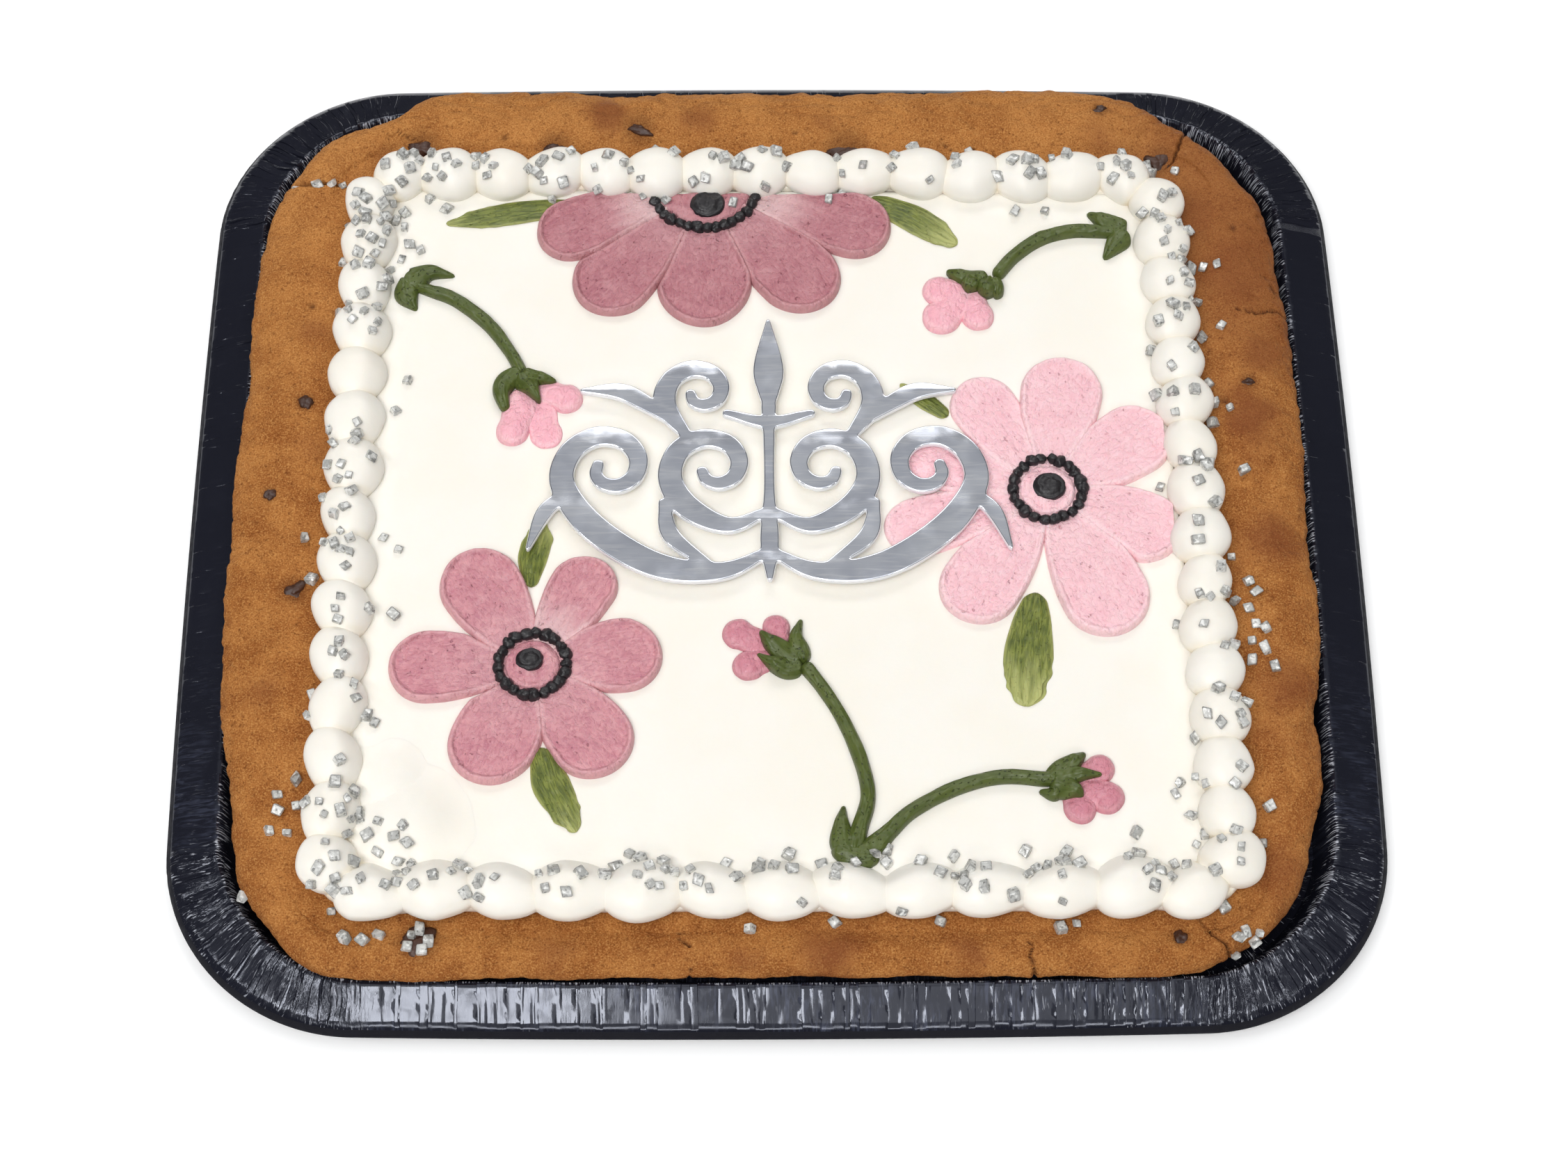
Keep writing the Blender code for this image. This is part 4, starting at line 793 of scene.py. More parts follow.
def cookie_look():
    """Golden, sandy crust with browner blisters."""
    look = Look("baked_cookie", roughness=0.75, specular_ior_level=0.12)
    bake_and_shade = look.layer("bake_and_shade")
    sand = look.grain(0.48, 3.0)
    crumb = look.grain(1.6, 3.0)
    mottle = look.level(look.grain(11.0, 4.0), 0.36, 0.66)
    tone = look.mix(mottle, (173, 113, 58), (147, 88, 41))
    tone = look.mix(look.product(look.layer("gold"), 0.6), tone, (194, 134, 74))
    tone = look.mix(look.product(look.level(sand, 0.48, 0.70), 0.6), tone, (208, 154, 90))
    dark = look.sum_of((look.level(sand, 0.47, 0.31), 0.55), (look.level(crumb, 0.44, 0.30), 0.35))
    tone = look.mix(dark, tone, (98, 50, 20))
    # browner where baked, and where painted shade lies by the tray's wall
    tone = look.mix(look.product(look.level(bake_and_shade, 0.1, 1.0), 0.7), tone, (118, 62, 32))
    # painted shade: the hollows coloured dark brown
    look.set("Base Color", look.mix(look.layer("hollow_shade"), tone, (74, 36, 18)))
    look.set("Roughness", look.level(bake_and_shade, 0.0, 1.0, 0.82, 0.55))
    fine = look.bump(sand, 0.35, 0.9)
    look.set("Normal", look.bump(crumb, 0.6, 0.85, fine))
    return look.made


def tray_look():
    """Black film on board: glossy and finely wrinkled, with glints painted into its colour by the ridge and
    on the near side.
    """
    look = Look("tray_black", roughness=0.12, specular_ior_level=0.46,
                specular_tint=(0.84, 0.88, 1.0, 1.0))
    run = look.layer("run", "Vector")
    flat = look.scaled(run, (1.0, 1.0, 0.0))
    _, inset, crumpled = look.split(run)
    across, ahead, _ = look.split(look.place)
    wrinkle = look.grain(1.3, 3.0, flat, (1.3, 0.3, 1.0), 0.8)
    scratch = look.level(look.grain(0.8, 2.0, flat, (1.6, 0.16, 1.0), 0.6), 0.60, 0.72)
    fine = look.grain(0.5, 2.0, flat, (1.2, 0.5, 1.0))

    near = look.level(ahead, -0.03, -0.12)
    near_right = look.product(look.level(ahead, -0.13, -0.15), look.level(across, 0.03, 0.09))
    ridge = look.product(look.level(inset, 13.0 * MM, 13.8 * MM), look.level(inset, 16.4 * MM, 15.2 * MM))
    # painted highlights: pale streaks mixed into the film's colour as glints, by the ridge and on the near
    # side
    streaks = look.sum_of(look.grain(0.7, 2.0, flat, (1.5, 0.24, 1.0), 0.5), (ridge, 0.07))
    patches = look.sum_of(look.grain(6.0, 2.0), (ridge, 0.12))
    glint = look.product(look.level(streaks, 0.60, 0.68), look.level(patches, 0.44, 0.62))
    near_glint = look.product(near, look.level(crumpled, 0.1, 1.0, 0.12, 0.9))
    glint = look.product(glint, look.sum_of(near_glint, ridge, (near_right, 0.6)))

    # painted sheen: a pale bluish haze in the near flange's colour where the lamps reflect in it, less in the
    # crumpled corners
    painted_sheen = look.product(look.level(look.grain(1.6, 4.0, flat, (1.5, 0.3, 1.0), 1.0), 0.42, 0.72), near)
    painted_sheen = look.product(painted_sheen, look.level(crumpled, 0.0, 1.0, 0.8, 0.0))
    painted_sheen = look.product(painted_sheen, look.level(look.grain(14.0, 3.0), 0.38, 0.62))
    tone = look.mix(look.grain(30.0), (21, 22, 30), (27, 28, 38))
    tone = look.mix(painted_sheen, tone, (66, 70, 86))
    look.set("Base Color", look.mix(glint, tone, (176, 179, 188)))
    look.set("Roughness", look.level(look.grain(5.0, 4.0, None, None, 1.0), 0.35, 0.7, 0.07, 0.18))

    depth = look.level(crumpled, 0.0, 1.0, 0.05, 1.0)
    small = look.sum_of(look.product(fine, depth), (look.product(scratch, depth), 0.8))
    look.set("Normal", look.bump(look.product(wrinkle, depth), 0.13, 0.8, look.bump(small, 0.06, 0.7)))
    return look.made


def tray_board_look():
    """The tray's lip and plain underside: matt black board."""
    look = Look("tray_board", specular_ior_level=0.12)
    look.set("Base Color", look.mix(look.grain(9.0, 3.0), (20, 20, 26), (28, 28, 35)))
    look.set("Roughness", look.level(look.grain(2.0, 2.0), 0.3, 0.7, 0.5, 0.7))
    look.set("Normal", look.bump(look.grain(1.2, 2.0), 0.04, 0.5))
    return look.made


def crystal_look():
    """Silver sugar: smooth grey, a little see-through, with darker faces and darker cut edges."""
    look = Look("silver_crystal", roughness=0.3, metallic=0.1, specular_ior_level=0.7)
    tone = look.mix(look.layer("shade"), (168, 168, 164), (208, 208, 204))
    tone = look.mix(look.level(look.grain(1.6, 1.0), 0.50, 0.64), tone, (228, 228, 224))
    tone = look.mix(look.product(look.level(look.grain(1.3, 1.0), 0.44, 0.32), 0.8), tone, (112, 112, 109))
    look.set("Base Color", look.mix(look.product(look.layer("rim"), 0.45), tone, (120, 120, 118)))
    look.set("Roughness", look.level(look.grain(0.9), 0.35, 0.65, 0.22, 0.42))
    look.set("Normal", look.bump(look.grain(1.0, 1.0), 0.12))
    return look.made


def mirror_look():
    look = Look("mirror_topper", roughness=0.1, metallic=1.0)
    brushed = look.grain(2.2, 3.0, None, (0.16, 1.6, 1.0), 0.8)
    cloud = look.grain(16.0, 2.0, None, (1.0, 1.8, 1.0), 0.6)
    tone = look.mix(look.level(cloud, 0.3, 0.7), (214, 218, 228), (234, 237, 244))
    look.set("Base Color", look.mix(look.level(brushed, 0.45, 0.75, 0.0, 0.6), tone, (250, 251, 254)))
    look.set("Roughness", look.level(look.grain(8.0, 3.0), 0.35, 0.7, 0.08, 0.2))
    look.set("Normal", look.bump(look.grain(10.0, 1.0), 0.04, 0.5))
    return look.made


# Tray

def tray_columns(total, corner_at):
    """Places along the rim with the lift and the tilt that the film has there.

    The film lies in facets with a narrow crease between each and the next. In the
    corners the creases crowd into pleats.
    """
    draws = random.Random(31)
    columns = []
    place = 0.0
    while place < total:
        pitch, pleat, slopes = ((CORNER_PITCH, CORNER_PLEAT, CORNER_SLOPE) if corner_at(place)
                                else (SIDE_PITCH, SIDE_PLEAT, SIDE_SLOPE))
        width = draws.uniform(*pitch) * draws.choice((0.35, 0.6, 1.0, 1.0))
        slope = draws.gauss(0.0, slopes) * min(width, 3.0) * 0.5
        tilt = draws.gauss(0.0, min(slopes, 0.06))
        ease = min(SIDE_CREASE, 0.2 * width)
        columns.append((place, -draws.uniform(*pleat), tilt))
        for share in np.linspace(0.0, 1.0, 3 + int(width > 2.5) + int(width > 4.5)):
            columns.append((lerp(place + ease, place + width - ease, share),
                            lerp(-slope, slope, share), tilt))
        place += width
    return np.array([column for column in columns if column[0] < total - CORNER_PITCH[0]]).T


def tray_outline(inset):
    """The tray's outline drawn in by an inset, with its first point once more at the end."""
    ring = rounded_outline(TRAY_HALF_X - inset, TRAY_HALF_Y - inset, max(TRAY_CORNER - inset, 8.0),
                           TRAY_BOW, *TRAY_STEPS)
    return np.concatenate((ring, ring[:1]))


def corner_reach(step):
    """How many points a place is from the nearest end of a corner, below nought on a side."""
    corner, side = TRAY_STEPS
    step = step % (corner + side)
    return np.where(step > corner, -np.minimum(step - corner, corner + side - step),
                    np.minimum(step, corner - step))


def film_lift(places, inset, share, facets, tilts, crumpled):
    """How far the film stands off its section along one row of the sheet."""
    wall = 1.0 + 0.5 * smoothstep(13.6, 15.0, inset) * smoothstep(19.0, 17.0, inset)
    flange = smoothstep(1.6, 3.4, inset) * smoothstep(15.5, 13.0, inset)
    fading = 0.5 + 0.8 * flat_noise(places, inset, 1.7, 4.0, 14)
    lift = share * wall * facets * fading + flange * tilts * (inset - 7.7)
    lift += 0.06 * share * flat_noise(places, inset, 15.0, 5.0, 21)
    lift -= CRUMPLE * share * wall * crumpled * np.abs(flat_noise(places, inset, 1.9, 3.0, 8))
    lift -= 0.5 * CRUMPLE * share * wall * crumpled * np.abs(flat_noise(places, inset, 0.9, 1.6, 9))
    return np.minimum(lift, 0.0) if inset < 1.8 else lift


def build_tray(finish, matt):
    """The pressed sheet, its section swept round the rim from the floor out and back below."""
    ridge = tray_outline(8.0)
    index = np.arange(len(ridge))
    reach = np.linalg.norm(np.diff(ridge, axis=0), axis=1)
    lengths = np.concatenate(([0.0], np.cumsum(reach)))
    out = -sides_of(ridge[:-1], closed=True)
    out = np.concatenate((out, out[:1]))
    places, facets, tilts = tray_columns(
        lengths[-1], lambda place: corner_reach(np.interp(place, lengths, index)) >= 0.0)
    in_corner = smoothstep(-16.0, 14.0, corner_reach(np.interp(places, lengths, index)))
    crumpled = lerp(SIDE_CRUMPLE, 1.0, in_corner)
    slopes = np.gradient(np.array(TRAY_SHEET)[:, :2], axis=0)
    rings, runs = [], []
    for k, (inset, height, share) in enumerate(TRAY_SHEET):
        wander = places + lerp(0.3, 1.0, crumpled) * flat_noise(places, inset, 9.0, 6.0, 3)
        at = np.interp(wander % lengths[-1], lengths, index)
        outline = np.stack([np.interp(at, index, values) for values in tray_outline(inset).T], axis=1)
        facing = np.stack([np.interp(at, index, values) for values in out.T], axis=1)
        across, up = slopes[k] / np.linalg.norm(slopes[k])
        lift = film_lift(places, inset, share, facets, tilts, crumpled)
        side, corner = np.abs(facing[:, 0]), 2.0 * np.abs(facing[:, 0] * facing[:, 1])
        drawn_in = smoothstep(2.6, 12.0, inset) * (RIDGE_IN[0] * side + RIDGE_IN[1] * corner)
        outward = 0.6 if up > 0 or k >= UNDERSIDE_ROW else -0.6
        x_y = outline + facing * (outward * abs(up) * lift - drawn_in)[:, None]
        rings.append(np.column_stack((x_y, np.maximum(height + lift * abs(across), 0.0))))
        runs.append(np.column_stack((places, np.full(len(places), inset), crumpled)))
    layers = {"run": np.concatenate(runs) * np.array((MM, MM, 1.0))}
    tray = make("pressed_tray", np.concatenate(rings), tube_faces(len(rings), len(places)), finish,
                layers, sharp=28.0)
    tray.data.materials.append(matt)
    insets = [item.vector[1] for item in tray.data.attributes["run"].data]
    for polygon in tray.data.polygons:
        outer = np.mean([insets[k] for k in polygon.vertices]) < LIP_INSET * MM
        polygon.material_index = int(polygon.normal.z < -0.1 or outer)
    settle(tray, "tray_black", "tray", "tray_rim")


# Cookie slab

def lobe_push(angle):
    """How far the lobes push the slab's rim out, in each direction."""
    push = np.zeros(len(angle))
    for centre, amount, width in COOKIE_LOBES:
        away = (angle - centre + 180.0) % 360.0 - 180.0
        push += amount * np.exp(-(away / width) ** 2)
    return push


def far_lift(y):
    """How much the puffed far side of the slab rises."""
    return FAR_PUFF * smoothstep(96.0, 136.0, y)


def inside_tray(ring, inset, tray_inset):
    """The ring drawn in, and held inside the tray's wall."""
    ring = ring * (1.0 - inset / np.linalg.norm(ring, axis=1))[:, None]
    corner = TRAY_CORNER - tray_inset
    core = np.array((TRAY_HALF_X - tray_inset - corner, TRAY_HALF_Y - tray_inset - corner))
    beyond = np.maximum(np.abs(ring) - core, 0.0)
    far = np.linalg.norm(beyond, axis=1)
    excess = np.where(far > corner, 1.0 - corner / np.maximum(far, 1e-6), 0.0)
    return ring - np.sign(ring) * beyond * excess[:, None]


def segment_distance(x, y, a, b):
    """Distance to a segment, and how far along it, 0 to 1, the nearest point lies."""
    ab = b[:2] - a[:2]
    t = np.clip(((x - a[0]) * ab[0] + (y - a[1]) * ab[1]) / max(ab @ ab, 1e-9), 0.0, 1.0)
    return np.hypot(x - a[0] - t * ab[0], y - a[1] - t * ab[1]), t


def polyline_distance(x, y, path):
    """Distance to a path, and how far along it, 0 to 1, the nearest point lies."""
    path = np.asarray(path, float)
    best = np.full(np.shape(x), 1e9)
    share = np.zeros(np.shape(x))
    for k, (a, b) in enumerate(zip(path, path[1:])):
        away, t = segment_distance(x, y, a, b)
        closer = away < best
        best = np.where(closer, away, best)
        share = np.where(closer, (k + t) / (len(path) - 1), share)
    return best, share


def at_height(ring, z):
    """A ring of x, y points at one height, or at a height for each."""
    return np.column_stack((ring, np.broadcast_to(z, len(ring))))


def cookie_grid():
    """The slab's surface without relief, in rings from its underside over to the icing."""
    widest = rounded_outline(COOKIE_HALF_X, COOKIE_HALF_Y, COOKIE_CORNER, COOKIE_BOW, *COOKIE_STEPS,
                             middle=COOKIE_MIDDLE)
    angle = np.degrees(np.arctan2(widest[:, 1], widest[:, 0]))
    reach = np.linalg.norm(widest, axis=1)
    rim = at_height(widest, 0.0)
    ragged = 0.7 * noise(rim, 15.0, 7) + 0.5 * noise(rim, 7.0, 2) + 0.22 * noise(rim, 2.2, 4)
    ragged *= 1.0 - 0.7 * smoothstep(-120.0, -140.0, widest[:, 1])
    widest = widest * (1.0 + (lobe_push(angle) + ragged) / reach)[:, None]
    flat = rounded_outline(FLAT_HALF_X, FLAT_HALF_Y, FLAT_CORNER, 0.0, *COOKIE_STEPS, middle=FLAT_MIDDLE)
    rings = [at_height(inside_tray(widest, 7.0, 23.4), TRAY_FLOOR_Z + GAP),
             at_height(inside_tray(widest, 2.6, 19.2), 12.0),
             at_height(inside_tray(widest, 0.5, 13.5), TRAY_RIDGE_Z + 0.7),
             at_height(widest, 17.6)]
    for share, height, lifted in COOKIE_SHOULDER:
        ring = lerp(widest, flat, share)
        rings.append(at_height(ring, height + lifted * far_lift(ring[:, 1])))
    rings.append(at_height(flat * 0.93, COOKIE_TOP_Z))
    ends = with_ends(np.array(rings))
    rows = [catmull_rom(*ends[k:k + 4], step / count)
            for k, count in enumerate(COOKIE_ROWS) for step in range(count)]
    return np.array(rows + rings[-1:])


def cookie_relief(grid):
    """How far the crust is raised at each point, how dark its hollows are painted as shade, and how baked, or
    shaded low by the tray's wall, it is.
    """
    x, y, z = np.moveaxis(grid, -1, 0)
    puff = 0.6 * noise(grid, 24.0, 1) + 0.36 * noise(grid, 9.0, 2) + 0.2 * noise(grid, 3.4, 3)
    puff += 0.5 * smoothstep(60.0, 150.0, x) * noise(grid, 12.0, 17)
    puff += 0.14 * noise(grid, 1.6, 4)
    wrinkled = smoothstep(118.0, 134.0, y) + 0.5 * smoothstep(138.0, 152.0, np.abs(x))
    fold = 1.0 - np.abs(noise(grid * (0.4, 1.0, 1.0), 6.0, 15))
    puff -= 0.8 * wrinkled * smoothstep(0.75, 1.0, fold)
    # painted shade: the hollows of cracks, pinholes and the chips' seats are coloured dark
    hollow_shade = np.zeros(x.shape)
    wobble = 0.35 * noise(grid, 2.0, 9)
    for width, depth, path in CRACKS:
        away, share = polyline_distance(x + wobble, y - wobble, path)
        half = 0.75 * width * (1.0 - 0.6 * share)
        cut = np.clip(1.0 - away / half, 0.0, 1.0)
        hollow_shade = np.maximum(hollow_shade, cut)
        puff -= depth * (1.0 - 0.5 * share) * cut
        puff += 0.35 * np.exp(-((away - half - 0.9) / 0.9) ** 2) * (depth > 2.0)
    for spot_x, spot_y in PINHOLES:
        hole = np.exp(-((x - spot_x) ** 2 + (y - spot_y) ** 2) / 0.8)
        puff -= 1.2 * hole
        hollow_shade = np.maximum(hollow_shade, 0.9 * hole)
    bake_and_shade = 0.25 * smoothstep(-0.2, 0.9, noise(grid, 15.0, 6)) + 0.22 * smoothstep(60.0, 150.0, x)
    # painted shade: the low side of the slab by the tray's wall is coloured browner
    bake_and_shade += 0.25 * smoothstep(5.0, 0.0, z - 15.0)
    bake_and_shade += 0.5 * smoothstep(96.0, 128.0, x) * smoothstep(20.0, 90.0, y)
    warp_x, warp_y = 2.5 * noise(grid, 8.0, 11), 2.5 * noise(grid, 8.0, 12)
    for spot_x, spot_y, radius, amount in BAKED_SPOTS:
        far = (x - spot_x + warp_x) ** 2 + (y - spot_y + warp_y) ** 2
        spot = np.exp(-far / (0.55 * radius ** 2))
        bake_and_shade += amount * spot
        puff += 0.3 * amount * spot
    for spot_x, spot_y, length, width in CHIPS:
        far = np.hypot(x - spot_x, y - spot_y) / (0.62 * max(length, width))
        puff -= 0.35 * np.exp(-far ** 2)
        hollow_shade = np.maximum(hollow_shade, 0.45 * np.exp(-far ** 4))
    return puff, hollow_shade, np.clip(bake_and_shade, 0.0, 1.0)


def build_cookie(finish):
    """The slab. Its relief fades out below, where it lies in the tray."""
    plain = cookie_grid()
    normals = grid_normals(plain)
    if normals[len(plain) // 2, :, 2].mean() < 0.0:
        normals = -normals
    puff, hollow_shade, bake_and_shade = cookie_relief(plain)
    free = smoothstep(12.5, 17.0, plain[..., 2])
    free[-3:] *= UNDER_ICING
    grid = plain + normals * (puff * free)[..., None]
    gold = smoothstep(0.0, 140.0, plain[..., 1]) * (0.6 + 0.4 * noise(grid, 30.0, 8))
    layers = {"bake_and_shade": bake_and_shade.ravel(), "hollow_shade": hollow_shade.ravel(), "gold": gold.ravel()}
    cookie = make("cookie_slab", grid, tube_faces(*grid.shape[:2]), finish, layers)
    settle(cookie, "baked_cookie", "cookie")
    return cookie


def lump(name, centre, radii, turn, finish, seed, rough, around=26, rows=15, shape_power=1.0):
    """A closed, uneven blob."""
    unit = unit_sphere(around, rows)
    shape = 1.0 + rough * noise(unit, 0.9, seed) + 0.4 * rough * noise(unit, 0.4, seed + 1)
    unit[..., 2] = np.where(unit[..., 2] > 0.0, np.abs(unit[..., 2]) ** shape_power, unit[..., 2])
    points = unit * shape[..., None] * np.array(radii)
    cos, sin = math.cos(turn), math.sin(turn)
    x = points[..., 0] * cos - points[..., 1] * sin + centre[0]
    y = points[..., 0] * sin + points[..., 1] * cos + centre[1]
    points = np.stack((x, y, points[..., 2] + centre[2]), axis=-1)
    return make(name, points, grid_faces(rows, around), finish)


def surface_below(tree, x, y):
    """Where a ray straight down at x, y meets the tree, in metres, and the normal there."""
    place, normal, _, _ = tree.ray_cast(Vector((x * MM, y * MM, RAY_START)), Vector((0.0, 0.0, -1.0)))
    return place, normal


def build_chips(tree, finish):
    draws = random.Random(9)
    chips = []
    for k, (x, y, length, width) in enumerate(CHIPS):
        z = surface_below(tree, x, y)[0].z / MM
        chips.append(lump("chip", (x, y, z - 0.55 * CHIP_RISE), (0.5 * length, 0.5 * width, 1.5),
                          draws.uniform(-0.4, 0.6), finish, 40 + k, 0.5))
    settle(joined("chocolate_chips", chips), "chocolate")


# Icing and border

def side_bow(side, share):
    """How far a side of the border bows out, at a share of its length."""
    return BORDER_BOWS[side] * 4.0 * share * (1.0 - share)


def bead_centres(draws):
    """The middle of each bead, as in part.py."""
    centres = []
    for side, count in enumerate(BORDER_BEADS):
        start, end, _, out = side_of(BORDER_CORNERS, side)
        for i in range(count):
            share = (i + 0.5) / count
            uneven = draws.uniform(-BEAD_UNEVEN, BEAD_UNEVEN) if 0 < i < count - 1 else 0.0
            aside = side_bow(side, share) + draws.uniform(-BEAD_DRIFT, BEAD_DRIFT)
            centres.append(lerp(start, end, share + uneven / count) + out * aside)
    return np.array(centres)


def loop_tube(name, path, half_width, low, high, finish):
    """A closed band with a round top along a closed path."""
    side = sides_of(path, closed=True)
    angle = turns(20)
    across = half_width * np.sign(np.cos(angle)) * np.abs(np.cos(angle)) ** 0.6
    up = 0.5 * (low + high) + 0.5 * (high - low) * np.sign(np.sin(angle)) * np.abs(np.sin(angle)) ** 0.6
    x = path[:, 0][:, None] + side[:, 0][:, None] * across
    y = path[:, 1][:, None] + side[:, 1][:, None] * across
    rings = np.stack((x, y, np.broadcast_to(up, x.shape)), axis=-1)
    closed = np.concatenate((rings, rings[:1]))
    return make(name, closed, grid_faces(len(closed), 20), finish)


def bead(centre, before, after, size, lean, side, finish):
    """One piped bead: a steep round front, a lower tail and full sides."""
    around, rows = 46, 28
    u, v, w = np.moveaxis(unit_sphere(around, rows), -1, 0)
    ahead = (after - before) / np.linalg.norm(after - before)
    outward = np.array((-ahead[1], ahead[0]))
    deep = np.clip(-w, 0.0, 1.0)
    full = np.sqrt(np.clip((1.0 - deep ** 3.2) / np.maximum(1.0 - deep ** 2, 1e-6), 1.0, 2.2))
    back = np.clip(-u, 0.0, 1.0)
    front = BEAD_FRONT * np.linalg.norm(after - centre)
    tail = BEAD_TAIL * np.linalg.norm(centre - before)
    inner = smoothstep(0.0, 0.8, -v)
    gentle = inner * min(1.0, 0.5 * BEAD_SINK[side])
    full = lerp(full, 1.0, gentle)
    along = np.where(u > 0.0, front, tail) * u * full
    across = BEAD_RADIUS * size * (1.0 - 0.12 * back) * v * full * (1.0 + BEAD_BLEND[side] * inner)
    across = across + lean * along
    waist = BEAD_WAIST_Z - BEAD_SINK[side] * inner
    up = (BEAD_TOP_Z - BEAD_WAIST_Z) * (1.0 + 0.9 * (size - 1.0)) * (1.0 - BEAD_DROP * back)
    dome = (up + BEAD_WAIST_Z - waist) * np.clip(w, 0.0, 1.0) ** (1.0 + 0.9 * gentle)
    height = np.where(w > 0.0, dome, (waist - ICING_BASE_Z) * w)
    points = np.stack((centre[0] + ahead[0] * along + outward[0] * across,
                       centre[1] + ahead[1] * along + outward[1] * across,
                       waist + height), axis=-1)
    radial = points - np.array((*centre, BEAD_WAIST_Z))
    radial = radial / np.maximum(np.linalg.norm(radial, axis=-1, keepdims=True), 1e-6)
    ripple = 0.28 * noise(points, 8.0, 5) + 0.05 * noise(points, 2.6, 6)
    return make("bead", points + radial * ripple[..., None], grid_faces(rows, around), finish)


def build_heaps(finish):
    """The icing heaped up inside the border's near-left corner."""
    heaps = []
    for k, (x, y, reach_x, reach_y, top) in enumerate(CORNER_MASS):
        radii = (reach_x, reach_y, top - MASS_FOOT_Z)
        heap = lump("heap", (x, y, MASS_FOOT_Z), radii, 0.0, finish, 80 + k, 0.07, 56, 37, MASS_SHAPE)
        for vert in heap.data.vertices:
            vert.co.z = max(vert.co.z, ICING_BASE_Z * MM)
        heaps.append(heap)
    return heaps


def build_border(finish):
    """Piped beads, each with its round front over the tail of the next."""
    draws = random.Random(21)
    centres = bead_centres(draws)
    sizes = [draws.uniform(1.0 - BEAD_UNEVEN, 1.0 + BEAD_UNEVEN) * BEAD_SIZES.get(i, 1.0)
             for i in range(len(centres))]
    leans = random.Random(77)
    path = smooth_path(centres, 4, closed=True)
    pieces = [loop_tube("foot", path, BEAD_FOOT, ICING_BASE_Z, BEAD_FOOT_Z, finish)]
    for i, centre in enumerate(centres):
        side = int(np.searchsorted(np.cumsum(BORDER_BEADS), i, side="right"))
        pieces.append(bead(centre, centres[i - 1], centres[(i + 1) % len(centres)], sizes[i],
                           leans.uniform(-0.14, 0.14), side, finish))
    border = united("piped_beads", pieces + build_heaps(finish), finish, sharp=42.0)
    # painted shade for the creases where beads meet, kept close to the beads
    spots = np.array([vert.co[:2] for vert in border.data.vertices]) / MM
    away = np.sort(np.linalg.norm(spots[:, None, :] - centres[None, :, :], axis=2), axis=1)
    beside = smoothstep(1.3 * BEAD_RADIUS, 0.95 * BEAD_RADIUS, away[:, 0])
    joint_shade = border.data.attributes.new("joint_shade", "FLOAT", "POINT")
    joint_shade.data.foreach_set("value", beside * np.exp(-((away[:, 1] - away[:, 0]) / 1.5) ** 2))
    settle(border, "white_icing", "piped_border")


def field_frame(inset):
    """The four corners of the icing field, drawn in from the border's middle line."""
    lines = []
    for side in range(4):
        start, _, step, out = side_of(BORDER_CORNERS, side)
        lines.append((start - out * inset, step))
    corners = []
    for side in range(4):
        (p, u), (q, w) = lines[side - 1], lines[side]
        t = np.linalg.solve(np.column_stack((u, -w)), q - p)[0]
        corners.append(p + u * t)
    return np.array(corners)


def build_icing(finish):
    """The flat icing sheet inside the border, a little uneven and raised where it meets the beads."""
    far_left, far_right, near_right, near_left = field_frame(BORDER_CORE + GAP + 0.6)
    columns, rows = FIELD_GRID
    s = np.linspace(0.0, 1.0, columns)[None, :, None]
    t = np.linspace(0.0, 1.0, rows)[:, None, None]
    plan = lerp(lerp(near_left, near_right, s), lerp(far_left, far_right, s), t)
    x, y = plan[..., 0], plan[..., 1]
    edge = np.minimum(np.minimum(s, 1.0 - s), np.minimum(t, 1.0 - t))[..., 0] * FIELD_WIDTH
    place = np.stack((x, y, np.zeros_like(x)), axis=-1)
    z = ICING_Z + 0.16 * noise(place, 42.0, 1) + 0.05 * flat_noise(x, y, 30.0, 7.0, 2)
    z = z + 0.5 * np.exp(-((edge - 8.0) / 3.0) ** 2) * (0.5 + 0.5 * noise(place, 12.0, 3))
    top = np.stack((x, y, z), axis=-1)
    base = np.stack((x, y, np.full_like(x, ICING_BASE_Z)), axis=-1)
    index = np.arange(rows * columns).reshape(rows, columns)
    rim = np.concatenate((index[0], index[1:, -1], index[-1, -2::-1], index[-2:0:-1, 0]))
    below = rim + rows * columns
    walls = np.stack((rim, np.roll(rim, -1), np.roll(below, -1), below), axis=1)
    faces = [grid_faces(rows, columns, closed=False), walls, below[None, :]]
    points = np.concatenate((top.reshape(-1, 3), base.reshape(-1, 3)))
    icing = make("icing_field", points, faces, finish)
    bm = bmesh.new()
    bm.from_mesh(icing.data)
    bmesh.ops.delete(bm, geom=[vert for vert in bm.verts if not vert.link_faces], context="VERTS")
    bm.to_mesh(icing.data)
    bm.free()
    settle(icing, "white_icing", "icing_sheet")


# Flowers

def half_sectors(petals, i):
    """The angles from a petal's middle to where its left and its right neighbour begin."""
    halves = []
    for other, sign in ((petals[(i + 1) % len(petals)], 1.0), (petals[i - 1], -1.0)):
        apart = (sign * (other[0] - petals[i][0])) % 360.0
        share = petals[i][2] / (petals[i][2] + other[2])
        halves.append(math.radians(min(apart * share, 60.0)))
    return halves


